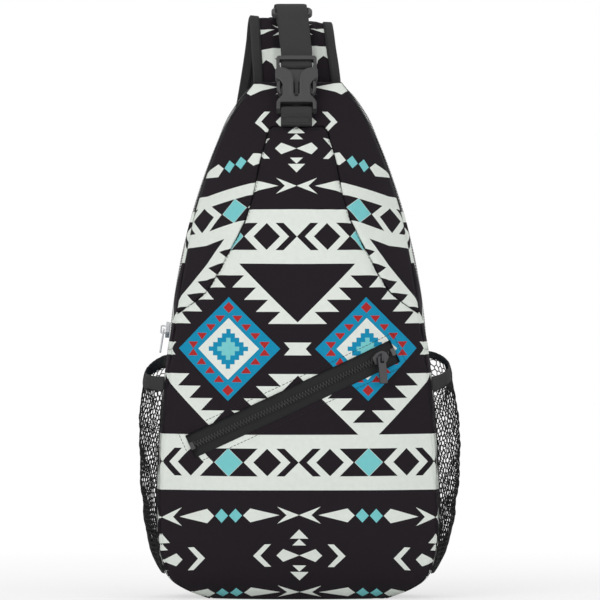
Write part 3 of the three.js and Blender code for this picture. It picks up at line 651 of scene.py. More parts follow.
def new_material(name, roughness, metallic=0.0, specular=0.5, sheen=0.0):
    material = bpy.data.materials.new(name)
    material.use_nodes = True
    tree = material.node_tree
    shader = tree.nodes["Principled BSDF"]
    values = {"Roughness": roughness, "Metallic": metallic, "Specular IOR Level": specular,
              "Sheen Weight": sheen}
    for socket, value in values.items():
        shader.inputs[socket].default_value = value
    return material, tree, shader


def set_bump(tree, shader, height, distance, strength):
    bump = add_node(tree, "Bump", {"Distance": distance, "Strength": strength, "Height": height})
    connect(tree, bump.outputs[0], shader.inputs["Normal"])


def set_mottled(tree, shader, colour, amount, scale):
    """Gives a surface a colour, a socket or fixed, that is a little uneven from place to place."""
    shade = (noise_field(tree, scale) - 0.5) * (2 * amount) + 1.0
    grey = add_node(tree, "CombineColor", {0: shade, 1: shade, 2: shade}).outputs[0]
    connect(tree, mix_colour(tree, 1.0, colour, grey, "MULTIPLY"), shader.inputs["Base Color"])


def print_colour(tree, u, v):
    """The cloth's print: medallions, stepped triangles and rows of small figures, mirrored both ways."""
    u = u.folded(PRINT_HALF_U)
    v = v.folded(PRINT_HALF_V)

    # Medallion, with its middle at the quarter's corner
    edge, field, cell_size = 52.0, 31.0, 4.45
    tooth_step, tooth_rise, tooth_half, tooth_height = 9.1, 8.8, 5.3, 6.8
    tip_height, tip_half = 41.5, 5.6
    du = PRINT_HALF_U - u
    beside, above = du / MEDALLION_SCALE, v / MEDALLION_SCALE
    diamond = beside + above
    cell = abs((beside / cell_size).nearest()) + abs((above / cell_size).nearest())
    column = (beside / tooth_step).nearest().higher(1.0).lower(4.0)
    depth = above - 35.3 + column * tooth_rise
    in_tooth = abs(beside - column * tooth_step) < depth * (tooth_half / tooth_height)
    tooth = (depth > 0.0) & (depth < tooth_height) & in_tooth
    tip = (beside + abs(above - tip_height)) < tip_half
    blue = ((diamond < edge) & (diamond > field)) | ((cell < 4.5) & (cell > 2.5))
    red = (tooth | tip) & (diamond < edge - 1.5)
    white = (diamond < field) & (cell > 4.5)
    turquoise = cell < 2.5

    # Bow tie between the medallions, and the stepped flanks of the big black triangle
    flank_low, flank_high, step_height = 25.5, 75.0, 12.4
    band_low, band_high = 87.0, 143.0
    white = white | ((v < 6.5) & (u < v * 0.88 + 8.0))
    step = (v - flank_low).remainder(step_height)
    flank_in = (v - 27.0).higher(0.0)
    flank = (v > flank_low) & (v < flank_high) & (u > flank_in) & (u < v + 4.2 - step * 2.0)
    white = white | flank | ((v > flank_high) & (v < band_low) & (u > flank_in))

    # White band with a row of chevrons and diamonds
    row_half, gem_half, chevron_width = 14.0, 14.0, 8.2
    lozenge_u, lozenge_half = 31.4, 13.9
    band = (v > band_low) & (v < band_high)
    dv = abs(v - (band_low + band_high) / 2)
    row = dv < row_half
    chevron = (u > dv) & (u < dv + chevron_width)
    lozenge = (abs(u - lozenge_u) + dv) < lozenge_half
    gem = du + dv
    hourglass = (u + dv > 55.0) & (gem > gem_half + 0.5)
    white = white | (band & (1.0 - (row & (chevron | lozenge | hourglass | (gem < gem_half)))))
    turquoise = turquoise | (band & row & (gem < gem_half))

    # Row of arrowheads, darts and small gems
    dart_v, dart_half, dart_start, dart_end = 168.0, 6.9, 19.4, 55.8
    dv = abs(v - dart_v)
    arrow = (dv < u * 0.3945) & (dv > (u - 12.4) * 0.915) & (u < 21.8)
    dart = dv < ((u - dart_start) * (dart_half / 29.2)).lower((dart_end - u) * (dart_half / 7.2))
    white = white | arrow | dart
    turquoise = turquoise | ((abs(u - 63.4) / 6.6 + dv / dart_half) < 1.0)

    # Row of kites, with chevrons beside them and two triangles on each side
    kite_half, kite_end = 6.6, 22.8
    e = PRINT_HALF_V - v
    kite = e < (u * (kite_half / 16.1)).lower((kite_end - u) * (kite_half / 6.7))
    wing = (u + e * 0.92 > 39.0) & (u + e < 46.2) & (e < 11.6)
    small = (e > 10.3) & (u < (16.9 - e) * (6.9 / 6.6))
    large = (e > 17.2) & (u < (26.5 - e) * (9.1 / 9.3))
    white = white | kite | wing | small | large

    colour = linear("black")
    for name, figure in (("white", white), ("turquoise", turquoise), ("blue", blue), ("red", red)):
        colour = mix_colour(tree, figure, colour, linear(name))
    return colour


def waves(field, pitch):
    return (field * (2 * math.pi / pitch)).sine()


def make_printed():
    material, tree, shader = new_material("printed_cloth", roughness=0.85, specular=0.12)
    u, v = cloth_axes(tree)
    set_mottled(tree, shader, print_colour(tree, u, v), amount=0.06, scale=260.0)
    weave = waves(u, 0.9) * waves(v, 0.9)
    height = weave * 0.5 + noise_field(tree, 420.0)
    set_bump(tree, shader, height, distance=0.00012, strength=0.55)
    return material


def make_ribbed(name, colour, pitch):
    """Woven tape: ribs across it and a finer weave along it, from cloth coordinates in millimetres."""
    material, tree, shader = new_material(name, roughness=0.85, specular=0.18)
    u, v = cloth_axes(tree)
    ribs = waves(v + u.folded(3.1) * 0.45, pitch)
    threads = waves(u, 0.62)
    set_mottled(tree, shader, linear(colour), amount=0.14, scale=900.0)
    height = ribs * 0.6 + threads * 0.4 + noise_field(tree, 900.0) * 0.8
    set_bump(tree, shader, height, distance=0.0003, strength=0.7)
    return material


def make_plain(name, colour, roughness, metallic=0.0, grain=1500.0, bump=0.00006, specular=0.5,
               uneven=0.06):
    """Moulded plastic, yarn or plated metal, with a fine grain."""
    material, tree, shader = new_material(name, roughness, metallic, specular)
    set_mottled(tree, shader, linear(colour), uneven, grain / 6)
    rough = noise_field(tree, grain / 4) * 0.16 + (roughness - 0.08)
    connect(tree, rough, shader.inputs["Roughness"])
    set_bump(tree, shader, noise_field(tree, grain), distance=bump, strength=0.5)
    return material


def make_spacer():
    """The back's padded spacer fabric: rows of small round holes in a dark knit, with painted shade in the
    holes.
    """
    column_pitch, row_pitch, hole_radius = 2.6, 2.2, 0.95
    material, tree, shader = new_material("spacer_fabric", roughness=0.9, sheen=0.1, specular=0.2)
    u, v = cloth_axes(tree)
    shifted = u + (v / row_pitch).floored().remainder(2.0) * (column_pitch / 2)
    across_hole = abs(shifted.remainder(column_pitch) - column_pitch / 2)
    along_hole = abs(v.remainder(row_pitch) - row_pitch / 2)
    distance = (across_hole * across_hole + along_hole * along_hole).root()
    knit_and_hole_shade = distance.softly_lower(hole_radius, 0.2)
    # Painted shade: each hole is painted down to 0.3 of the knit's colour, darkest at its middle. The same
    # value gives the knit its bump.
    colour = mix_colour(tree, knit_and_hole_shade, linear("back", shade=0.3), linear("back"))
    set_mottled(tree, shader, colour, amount=0.12, scale=700.0)
    set_bump(tree, shader, knit_and_hole_shade + noise_field(tree, 1200.0) * 0.2, distance=0.0007, strength=0.8)
    return material


PRINTED = make_printed()
SPACER = make_spacer()
WEBBING_CLOTH = make_ribbed("webbing_cloth", "webbing", pitch=1.15)
BINDING_CLOTH = make_ribbed("binding_cloth", "binding", pitch=0.8)
TAPE_CLOTH = make_ribbed("zipper_tape_cloth", "tape", pitch=0.9)
BASE_CLOTH = make_ribbed("base_cloth", "back", pitch=1.0)
NET_YARN = make_plain("net_yarn", "net", roughness=0.75, grain=3000.0, specular=0.3)
COIL_NYLON = make_plain("coil_nylon", "coil", roughness=0.42)
BUCKLE_PLASTIC = make_plain("buckle_plastic", "plastic", roughness=0.48, specular=0.45)
DARK_METAL = make_plain("dark_metal", "dark_metal", roughness=0.42, metallic=0.35)
BRIGHT_METAL = make_plain("bright_metal", "bright_metal", roughness=0.26, metallic=1.0, bump=0.00003,
                          uneven=0.1)
THREAD = make_plain("thread", "thread", roughness=0.7, grain=4000.0, specular=0.3)


# Printed front, yoke and sides
MERIDIAN_Z = np.linspace(0, BODY_HEIGHT, 824)
MERIDIAN = run_along(stacked(0, front_y(MERIDIAN_Z), MERIDIAN_Z))
GAUSS, GAUSS_WEIGHT = np.polynomial.legendre.leggauss(12)


def dome_run(s, z):
    """How far the cloth runs from the middle to a place on the front, measured on the dome."""
    half = half_width(z)
    slope = front_drop(z) / half * DOME_POWER
    share = sum(w / 2 * np.sqrt(1 + (slope * np.abs(s * (t + 1) / 2) ** (DOME_POWER - 1)) ** 2)
                for t, w in zip(GAUSS, GAUSS_WEIGHT))
    return share * half * s


def front_cloth(s, z):
    """Cloth coordinates of the front in millimetres: across from the middle, up from the medallions."""
    x = half_width(z) * s
    middle = np.minimum(1, MEDALLION_X / half_width(z))
    spare = 1 + (1 - PRINT_CURL) * (dome_run(middle, z) / (middle * half_width(z)) - 1)
    across_mm = x * spare + PRINT_CURL * (dome_run(s, z) - x)
    up_mm = np.interp(z, MERIDIAN_Z, MERIDIAN) - np.interp(MEDALLION_Z, MERIDIAN_Z, MERIDIAN)
    up_mm = up_mm - PRINT_EASE * np.maximum(0, PRINT_EASE_Z - z)
    up_mm = up_mm + PRINT_SAG * (x / MEDALLION_X) ** 2 * (1 - smoothstep(*PRINT_SAG_Z, z))
    return across_mm + PRINT_LEAN * (z - PRINT_LEAN_Z), up_mm


def turned(x, z, run):
    """Coordinates in the front view, turned from a direction's own axes to X and Z."""
    return x * run[0] - z * run[1], x * run[1] + z * run[0]


def zip_point(along, beside):
    """X and Z of a place along the front zipper from its middle, and beside it."""
    x, z = turned(along, beside, FRONT_ZIP_RUN)
    return FRONT_ZIP_MIDDLE[0] + x, FRONT_ZIP_MIDDLE[1] + z


def slot_distance(x, z):
    """How far a point in the front view is outside the zipper's slot."""
    along, beside = turned(x - FRONT_ZIP_MIDDLE[0], z - FRONT_ZIP_MIDDLE[1], FRONT_ZIP_RUN * (1, -1))
    out_along = np.abs(along) - FRONT_ZIP_LENGTH / 2 - GAP
    out_beside = np.abs(beside) - FRONT_SLOT_WIDTH / 2
    outside = np.hypot(np.maximum(out_along, 0), np.maximum(out_beside, 0))
    return outside + np.minimum(np.maximum(out_along, out_beside), 0)


def cut_slot(obj):
    """Cuts the zipper's slot cleanly into the front panel."""
    run = Vector((FRONT_ZIP_RUN[0], 0, FRONT_ZIP_RUN[1]))
    up = Vector((-FRONT_ZIP_RUN[1], 0, FRONT_ZIP_RUN[0]))
    middle = Vector((FRONT_ZIP_MIDDLE[0], 0, FRONT_ZIP_MIDDLE[1])) * MM
    half_height = FRONT_SLOT_WIDTH / 2
    half_length = FRONT_ZIP_LENGTH / 2 + GAP
    with edited(obj) as work:
        def faces_within(distance):
            centres = [face.calc_center_median() / MM for face in work.faces]
            return [f for f, c in zip(work.faces, centres) if slot_distance(c.x, c.z) < distance]

        for out in (up * half_height, -up * half_height, run * half_length, -run * half_length):
            near = faces_within(6)
            parts = {part for face in near for part in (*face.verts, *face.edges)}
            bmesh.ops.bisect_plane(work, geom=[*parts, *near], dist=1e-6, plane_co=middle + out * MM,
                                   plane_no=out.normalized())
        bmesh.ops.delete(work, geom=faces_within(0), context="FACES")


def front_limit(z):
    """Half the front panel's width, which ends at the yoke's seam higher up."""
    seam = np.where(z > SEAM_FOOT, yoke_seam_x(z), half_width(z))
    return np.minimum(seam, half_width(z)) - GAP


def seam_roll(distance, depth, reach):
    """How far cloth turns in beside a seam."""
    return depth * (1 - smoothstep(0, reach, distance)) ** 1.5


def make_front_panel():
    heights = steps_through((0, 30, 22), (30, 370, 190), (370, FRONT_TOP, 8))
    z, share = grid(heights, closer_at_ends(131, bend=1.35))
    s = share * front_limit(z) / half_width(z)
    p = front_point(s, z)
    x = p[..., 0]
    to_side = (front_limit(z) - np.abs(x)) * np.where(z > SEAM_FOOT, 0.8, 1.2)
    to_edge = np.minimum(to_side, FRONT_TOP - z)
    to_slot = slot_distance(x, z)
    pucker = ripples(x, z, wavelength=15, seed=3) * fading(to_edge, 14) * 0.5
    pull = ripples(x, z, wavelength=20, seed=7) * fading(to_slot, 12) * 0.35
    soft = ripples(x, z, wavelength=70, seed=11) * 0.7
    lift = soft * smoothstep(0, 40, to_edge) * smoothstep(0, 25, z) + pucker + pull
    lift = lift - seam_roll(to_edge, depth=1.3, reach=4.5) - seam_roll(to_slot, depth=0.9, reach=3.5)
    uv = stacked(*front_cloth(s, z)) / PRINT_UNIT
    obj = grid_mesh("front_panel_cloth", p + grid_normals(p) * lift[..., None], uv)
    cut_slot(obj)
    thicken(obj)
    piece(obj, PRINTED, ["front_panel"])


def make_yoke():
    """Printed cloth over both shoulders, in lines from its seam with the front panel to its outer edge."""
    on_seam = steps_through((YOKE_FOOT, 350, 70), (350, FRONT_TOP, 24))
    on_edge = profile(YOKE_LINES)(on_seam)
    inner_s = (yoke_seam_x(on_seam) + GAP) / half_width(on_seam)
    outer_s = 1 - GAP / half_width(on_edge)
    share = np.linspace(1, -1, 34)[1:-1]
    right = stacked(inner_s, on_seam + GAP, outer_s, on_edge)
    top = stacked(share * inner_s[-1], on_seam[-1] + GAP, share * outer_s[-1], BODY_HEIGHT)
    left = right[::-1] * np.array([-1, 1, -1, 1])
    lines = np.concatenate([right, top, left])[:, None, :]
    t = np.linspace(0, 1, 31)[None, :]
    s = lerp(lines[..., 0], lines[..., 2], t)
    z = lerp(lines[..., 1], lines[..., 3], t)
    p = front_point(s, z)
    x = p[..., 0]
    normal = grid_normals(p)
    normal = normal * np.where(normal[..., 1:2] > 0, -1, 1)
    to_seam = lengths(p, 1)
    to_edge = to_seam[:, -1:] - to_seam
    soft = ripples(x, z, wavelength=60, seed=21) * 0.6
    pucker = ripples(x, z, wavelength=13, seed=22) * fading(to_seam, 10) * 0.4
    lift = soft * smoothstep(0, 20, to_seam) * smoothstep(0, 20, to_edge) + pucker
    lift = lift - seam_roll(to_seam, depth=1.0, reach=4) - seam_roll(to_edge, depth=1.4, reach=5)

    across_mm, up_mm = front_cloth(s, z)
    beyond = np.maximum(0, np.abs(x) / PRINT_UNIT - YOKE_DROOP_FROM)
    curled = np.minimum(beyond, YOKE_DROOP_SPAN)
    lowered = np.maximum(0, YOKE_EASE_Z - z)
    eased = 0.3 * lowered + 0.7 * np.minimum(lowered, YOKE_EASE_SPAN)
    steady, first, second = YOKE_DROOP
    droop = steady * beyond + first * curled + second * curled**2 - YOKE_EASE * eased / PRINT_UNIT
    uv = stacked(across_mm / PRINT_UNIT * YOKE_SCALE, up_mm / PRINT_UNIT - YOKE_SHIFT + droop)
    obj = grid_mesh("front_yoke_cloth", p + normal * lift[..., None], uv)
    face_front(obj)
    thicken(obj)
    piece(obj, PRINTED, ["front_yoke"])


def make_side(name):
    """Printed wall behind a net pocket, and the gusset above it."""
    side = SIDES[name]
    low = steps_through((0, 30, 14), (30, WALL_TOP, 60))
    high = np.linspace(WALL_TOP + GAP, GUSSET_TOP, 40)
    zip_edge = MAIN_ZIP_Y - MAIN_TAPE_WIDTH / 2 - GAP
    zip_share = (zip_edge - side_seam_y(high)) / (rear_y(high) - side_seam_y(high))
    for kind, heights, end, flat, area in (("side_wall", low, np.ones_like(low), (0.08, 0.21), 0.0135),
                                           ("gusset", high, zip_share, (0.05, 0.115), 0.0028)):
        trim = GAP / (rear_y(heights) - side_seam_y(heights))
        t = lerp(trim[:, None], (end - trim)[:, None], np.linspace(0, 1, 30)[None, :])
        z = np.broadcast_to(heights[:, None], t.shape)
        p = side_point(side, t, z)
        width = lengths(p, 1)
        soft = ripples(p[..., 1], z, wavelength=45, seed=31) * 0.6
        to_edge = np.minimum(width, width[:, -1:] - width)
        p[..., 0] += side * (soft - seam_roll(to_edge, depth=1.0, reach=4))
        edge_mm, up_mm = front_cloth(np.ones_like(z), z)
        uv = stacked(edge_mm + width, up_mm) / PRINT_UNIT
        obj = grid_mesh(f"{kind}_{name}_cloth", p, uv, flipped=side < 0)
        thicken(obj)
        piece(obj, PRINTED, [f"{kind}_{name}"])


# Padded back, base, pocket lining and net pockets
def channel_depth(distance, depth, reach):
    return depth * np.exp(-((distance / reach) ** 2))


def between(values):
    """Adds one smooth row between each two rows."""
    ends = np.concatenate([2 * values[:1] - values[1:2], values, 2 * values[-1:] - values[-2:-1]])
    result = np.empty((2 * len(values) - 1,) + values.shape[1:])
    result[::2] = values
    result[1::2] = (9 * (ends[1:-2] + ends[2:-1]) - ends[:-3] - ends[3:]) / 16
    return result


def swell(p, outwards, held, cap):
    """How far each point of a padded cover moves as its filling presses it out between its seams."""
    coarse = p[::2, ::2]
    faces = grid_faces(*coarse.shape[:2])
    if np.sum(grid_normals(coarse) * outwards[::2, ::2]) > 0:
        faces = faces[:, ::-1]
    obj = add_mesh("swelling", coarse.reshape(-1, 3), faces)
    group = obj.vertex_groups.new(name="held")
    for index, weight in enumerate(held[::2, ::2].ravel().tolist()):
        group.add([index], weight, "REPLACE")
    cloth = obj.modifiers.new("swelling", "CLOTH").settings
    cloth.use_pressure = True
    cloth.uniform_pressure_force = SWELL_PRESSURE
    cloth.vertex_group_mass = "held"
    cloth.shrink_min = -SWELL_SLACK
    cloth.effector_weights.gravity = 0
    scene = bpy.context.scene
    for step in range(1, SWELL_FRAMES + 1):
        scene.frame_set(step)
    swollen = np.empty(coarse.size)
    mesh = obj.evaluated_get(bpy.context.evaluated_depsgraph_get()).data
    mesh.vertices.foreach_get("co", swollen)
    scene.frame_set(1)
    bpy.data.objects.remove(obj)
    move = swollen.reshape(coarse.shape) / MM - coarse
    size = np.maximum(np.linalg.norm(move, axis=-1, keepdims=True), 1e-6)
    move *= np.tanh(size / cap) * cap / size
    return between(between(move).swapaxes(0, 1)).swapaxes(0, 1)


def make_back():
    """Padded back with sewn channels: a border, two upright ones and two that rise to the middle."""
    heights = steps_through((0, 40, 26), (40, 370, 150), (370, BODY_HEIGHT, 27))
    trim = 2 * GAP / REAR_CORNER
    z, s = grid(heights, closer_at_ends(121, bend=1.2) * (1 - trim))
    p = back_point(s, z)
    normal = -grid_normals(p)
    x = p[..., 0]
    width = lengths(p, 1)
    half_run = width[:, -1:] / 2
    to_side = half_run - np.abs(width - half_run)
    to_edge = np.minimum(to_side, np.minimum(z, BODY_HEIGHT - z) * 1.2)
    seams = [np.abs(x) - BACK_UPRIGHT * half_width(z)]
    seams += [z - (height - BACK_RISE * np.abs(x)) for height in BACK_RISERS]
    outside = 1 - smoothstep(BACK_BORDER, BACK_BORDER + 6, to_edge)
    seams = [np.abs(to_edge - BACK_BORDER)] + [np.abs(seam) + 60 * outside for seam in seams]
    to_seam = np.minimum.reduce(seams)
    held = np.maximum(1 - smoothstep(1.5, 7, to_seam), 1 - smoothstep(5, 14, to_edge))
    crown = BACK_CROWN * smoothstep(6, 34, to_edge) - channel_depth(to_seam, depth=1.4, reach=3.4)
    start = p + normal * crown[..., None]
    start = start + swell(start, normal, held, BACK_SWELL)
    soft = ripples(x, z, wavelength=24, seed=41) * 0.3 * smoothstep(0, 12, to_edge)
    outer = start + normal * (soft - channel_depth(to_seam, depth=1.1, reach=1.6))[..., None]
    inner = back_point(s, z, FABRIC)
    inner[..., 1] -= 3.0 * np.minimum(1, 3 * (1 - np.abs(s)))
    obj = sheet_mesh("back_pad", outer, inner, stacked(width, lengths(p, 0)))
    piece(obj, SPACER, ["back_panel"])


def make_bottom():
    inset = FABRIC + 2 * GAP
    s = np.linspace(-1, 1, 61)
    front = front_point(s, np.zeros_like(s), inset)
    back = back_point(-s, np.zeros_like(s), inset)
    outline = np.concatenate([front, back[1:-1]])
    rings = []
    for share, height in BASE_RINGS:
        ring = lerp(BASE_MIDDLE, outline, share)
        ring[:, 2] = height
        rings.append(ring)
    sections = np.array(rings)
    obj = loft_mesh("base_panel", sections, sections[..., :2])
    piece(obj, BASE_CLOTH, ["bottom_panel"])


def make_pocket_bag():
    z, s = grid(np.linspace(*LINING_Z, 50), np.linspace(-LINING_REACH, LINING_REACH, 60))
    p = front_point(s, z, LINING_DEPTH)
    p[..., 1] += ripples(p[..., 0], z, wavelength=30, seed=51) * 0.25
    obj = grid_mesh("front_pocket_lining", p, stacked(lengths(p, 1), lengths(p, 0)))
    thicken(obj, LINING)
    piece(obj, BASE_CLOTH, ["front_pocket_bag"])


def pocket_point(name, t, z, inset):
    """A place on a net pocket, t from 0 at the front to 1 at the rear, set in from its outer face."""
    side = SIDES[name]
    p = side_point(side, lerp(0.03, 0.97, t), z)
    round_mouth = (4 * t * (1 - t)) ** 0.6
    ridged = 1 - np.abs(2 * t - 1) ** NET_RIDGE
    bulge = pocket_bulge(z) * lerp(ridged, round_mouth, smoothstep(150, 186, z))
    low, high, slimmer = POCKET_SLIM[name]
    bulge = bulge * (1 - slimmer * (1 - smoothstep(low, high, z)))
    p[..., 0] += side * (2 * GAP + bulge + BAND_THICKNESS - inset)
    return p


def hexagons(width, height, cell):
    """Corners and faces of a honeycomb that covers a rectangle."""
    corners, index, faces = [], {}, []
    radius = cell / math.sqrt(3)
    for row in range(int(height / (1.5 * radius)) + 2):
        for column in range(int(width / cell) + 2):
            cx = (column + 0.5 * (row % 2)) * cell
            cy = row * 1.5 * radius
            if cx > width + 0.3 * cell or cy > height + 0.3 * radius:
                continue
            face = []
            for k in range(6):
                angle = math.radians(60 * k + 30)
                x, y = cx + radius * math.cos(angle), cy + radius * math.sin(angle)
                key = (round(x * 20), round(y * 20))
                if key not in index:
                    index[key] = len(corners)
                    corners.append((x, y))
                face.append(index[key])
            faces.append(face)
    return np.array(corners), faces


def pocket_mouth(name, t):
    return lerp(POCKET_MOUTH_FRONT, MOUTH_REAR[name], t ** MOUTH_POWER[name])


def band_height(name, t):
    return lerp(BAND_HEIGHT, BAND_REAR_HEIGHT[name], smoothstep(0.4, 0.75, t))


def make_net(name, t_fine, run):
    """A pocket's net: an uneven honeycomb of strands from its foot to its band."""
    length = run[-1]
    height = POCKET_MOUTH_FRONT - BAND_HEIGHT - POCKET_BOTTOM
    corners, faces = hexagons(length, height, NET_CELL)
    random = np.random.default_rng(NET_SEED[name])
    corners = corners + random.normal(0, NET_UNEVEN, corners.shape)
    a, v = np.clip(corners / (length, height), 0, 1).T
    t = np.interp(a * length, run, t_fine)
    z = lerp(POCKET_BOTTOM, pocket_mouth(name, t) - band_height(name, t) + 1.0, v)
    p = pocket_point(name, t, z, NET_DEPTH)
    slack = ripples(length * a, z, wavelength=26, seed=63) * 0.9
    p[:, 0] += SIDES[name] * slack * np.minimum(1, 6 * a * (1 - a))
    obj = add_mesh(f"net_pocket_{name}", p, faces, stacked(length * a, z))
    with edited(obj) as work:
        bmesh.ops.remove_doubles(work, verts=work.verts, dist=0.25 * MM)
        tiny = [face for face in work.faces if face.calc_area() < 0.4 * MM**2]
        bmesh.ops.delete(work, geom=tiny, context="FACES")
    strands = obj.modifiers.new("strands", "WIREFRAME")
    strands.thickness = NET_STRAND * MM
    strands.use_even_offset = False
    strands.use_relative_offset = False
    strands.use_replace = True
    apply_modifiers(obj)
    piece(obj, NET_YARN, [f"mesh_pocket_{name}"])


def make_pocket(name):
    t_fine = np.linspace(0, 1, 400)
    run = run_along(pocket_point(name, t_fine, np.full(400, 110.0), NET_DEPTH))
    make_net(name, t_fine, run)

    v, t = grid(np.linspace(0, 1, 13), np.linspace(0, 1, 130))
    z = pocket_mouth(name, t) - (1 - v) * band_height(name, t)
    gather = ripples(t * run[-1], v * 3, wavelength=5.0, seed=64) * 0.22
    roll = 0.8 * (np.abs(2 * v - 1) ** 4)
    outer = pocket_point(name, t, z, 0.2 + roll - gather)
    inner = pocket_point(name, t, z, BAND_THICKNESS - 0.2 - roll - gather)
    band = sheet_mesh(f"pocket_band_{name}_tape", outer, inner, stacked(v * BAND_HEIGHT, t * run[-1]))
    piece(band, BINDING_CLOTH, [f"pocket_band_{name}"])


# Strap and webbing
def band_section(thickness, count):
    """Corners of a flat band's rounded section: shares of its width across, millimetres through."""
    edge = np.linspace(-1, 1, count)
    flat = np.sign(edge) * np.abs(edge) ** 0.8
    rise = np.maximum((1 - np.abs(flat) ** 10) ** 0.5, 0.35)
    top = stacked(flat / 2, rise * thickness / 2)
    return np.concatenate([top, (top * np.array([1, -1]))[::-1]])


def swept(path, sideways, normal, offset, rise):
    """A section at each step of a path, with its corners beside and above the path."""
    return path[:, None] + sideways[:, None] * offset[..., None] + normal[:, None] * rise[..., None]


def ribbon(name, path, sideways, normal, width, thickness, beside=0.0, count=9, wave=0.0, crown=0.0):
    """A woven band along a path, with cloth coordinates in millimetres."""
    width, beside, wave = (np.broadcast_to(np.asarray(value, float), len(path))[:, None]
                           for value in (width, beside, wave))
    shares, through = band_section(thickness, count).T
    offset = shares * width + beside
    rise = through + crown * (1 - 4 * shares ** 2) + wave
    sections = swept(path, sideways, normal, offset, rise)
    return loft_mesh(name, sections, stacked(offset, run_along(path)[:, None]))


def strap_line():
    """The strap's path, the way its width runs and its normal, and its width at each step."""
    path, tangent, _ = spline(STRAP_ROUTE, STRAP_COUNT)
    share = np.linspace(0, 1, STRAP_COUNT)
    twist = STRAP_TWIST * smoothstep(0.02, 0.1, share) * (1 - smoothstep(0.5, 0.9, share))
    sideways, normal = across(tangent, stacked(1, 0, twist))
    return path, sideways, normal, strap_width(share)


def make_strap():
    path, sideways, normal, width = strap_line()
    run = run_along(path)
    to_end = np.minimum(run, run[-1] - run)[:, None]
    half = ((width - 2 * (BINDING_WIDTH - BINDING_GRIP)) / 2)[:, None]

    edge = closer_at_ends(37, bend=1.3)
    crown = 0.2 + 0.8 * smoothstep(1, 14, (1 - np.abs(edge)) * half.mean())
    outer_x = edge * half
    uneven = ripples(outer_x, run[:, None], wavelength=34, seed=71) * 0.35
    puff = 0.75 + 0.25 * smoothstep(0, 6, to_end)
    thick = STRAP_CORE / 2 * crown * puff
    offset_x = np.concatenate([outer_x, outer_x[:, ::-1]], axis=1)
    offset_y = np.concatenate([-(thick + uneven * crown), (thick * 0.95)[:, ::-1]], axis=1)
    sections = swept(path, sideways, normal, offset_x, offset_y)
    held = 1 - smoothstep(2, 8, np.minimum((1 - np.abs(edge)) * half, to_end))
    for side, columns in ((-1, slice(0, len(edge))), (1, slice(len(edge), None))):
        face = sections[:, columns]
        outwards = np.broadcast_to(side * normal[:, None], face.shape)
        sections[:, columns] += swell(face, outwards, held, STRAP_SWELL)

    edge_z, edge_v = STRAP_BAND_EDGE
    scale_u, scale_v = STRAP_PRINT_SCALE
    front_leg = slice(0, 60)
    start = np.interp(edge_z, path[front_leg, 2], run[front_leg])
    below = np.maximum(0, start - run - STRAP_EASE_FROM)
    v = edge_v + (run - start + STRAP_EASE * below) / PRINT_UNIT * scale_v
    obj = loft_mesh("strap_pad_cloth", sections, stacked(offset_x / PRINT_UNIT * scale_u, v[:, None]))
    piece(obj, PRINTED, ["strap_pad"])
    obj.data.materials.append(BASE_CLOTH)
    count = offset_x.shape[1]
    for polygon in obj.data.polygons:
        on_inside = max(i % count for i in polygon.vertices) >= count // 2
        polygon.material_index = 1 if on_inside else 0

    for name, side in SIDES.items():
        tape = ribbon(f"strap_binding_{name}_tape", path, sideways, normal, BINDING_WIDTH, STRAP_EDGE,
                      beside=side * (width - BINDING_WIDTH) / 2, count=11,
                      wave=ripples(run, 0 * run, wavelength=22, seed=72 + side) * 0.25)
        piece(tape, BINDING_CLOTH, [f"strap_binding_{name}"])


def into_bag(matrix, route):
    return [[c / MM for c in matrix @ (Vector(p) * MM)] for p in route]


def adjuster_matrix():
    """Where the ladder lock lies: its origin past the strap's end, its Z up along the strap."""
    up = Vector(-STRAP_END_DIRECTION)
    sideways = (Vector((1, 0, 0)) - up * up.x).normalized()
    end = Vector(STRAP_ROUTE[-1]) + Vector(STRAP_END_DIRECTION) * ADJUSTER_FROM_PAD
    turn = Matrix((sideways, up.cross(sideways), up)).transposed().to_4x4()
    return Matrix.Translation(end * MM) @ turn


def make_webbing():
    adjuster = adjuster_matrix()
    release = into_bag(TRIGLIDE_MATRIX, TAIL_ROUTE) + TAIL_TO_BUCKLE
    release += into_bag(BUCKLE_MATRIX, LOOP_ROUTE) + OVER_FOLD_ROUTE
    own_axes = Matrix.Identity(4)
    strips = [
        ("buckle_tab_webbing", "buckle_tab", TAB_LOOP, BUCKLE_MATRIX, 70, "folded", "buckle_female"),
        ("quick_release_strip", "quick_release_webbing", release, own_axes, 240, "folded", "buckle_male"),
        ("anchor_patch", "webbing_anchor", ANCHOR_ROUTE, own_axes, 20, "laid", "strap_pad_cloth"),
        ("strap_end_strip", "strap_end_webbing", STRAP_END_ROUTE, adjuster, 90, "folded", "ladder_lock"),
        ("lower_strip", "lower_webbing", LOWER_ROUTE, adjuster, 90, "folded", "ladder_lock")]
    for name, node, route, matrix, count, held, support in strips:
        path, tangent, length = spline(route, count)
        obj = ribbon(name, path, *across(tangent, (1, 0, 0)), WEBBING_WIDTH, WEBBING, count=13)
        obj.data.transform(matrix)
        joins_bodies = name == "quick_release_strip"
        piece(obj, WEBBING_CLOTH, [node], body=None if joins_bodies else "bag")
        if joins_bodies:
            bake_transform(obj)
        length * MM


# Zippers
def capsules(name, middles, along, up, length, wide, high, sides=6):
    """Many small rounded bars in one mesh, each lying along a direction and flattened upwards."""
    along = unit(along)
    beside = unit(np.cross(up, along))
    up = np.cross(along, beside)
    angle = np.linspace(0, 2 * math.pi, sides, endpoint=False)
    stations = [(-0.5, 0.35), (-0.42, 0.85), (0.0, 1.0), (0.42, 0.85), (0.5, 0.35)]
    rings = [middles[:, None] + along[:, None] * at * length
             + beside[:, None] * (np.cos(angle) * share * wide / 2)[None, :, None]
             + up[:, None] * (np.sin(angle) * share * high / 2)[None, :, None] for at, share in stations]
    vertices = np.stack(rings, axis=1)
    count = len(stations) * sides
    one = tube_faces(len(stations), sides)
    faces = [[i + k * count for i in face] for k in range(len(vertices)) for face in one]
    return face_outwards(add_mesh(name, vertices.reshape(-1, 3), faces))


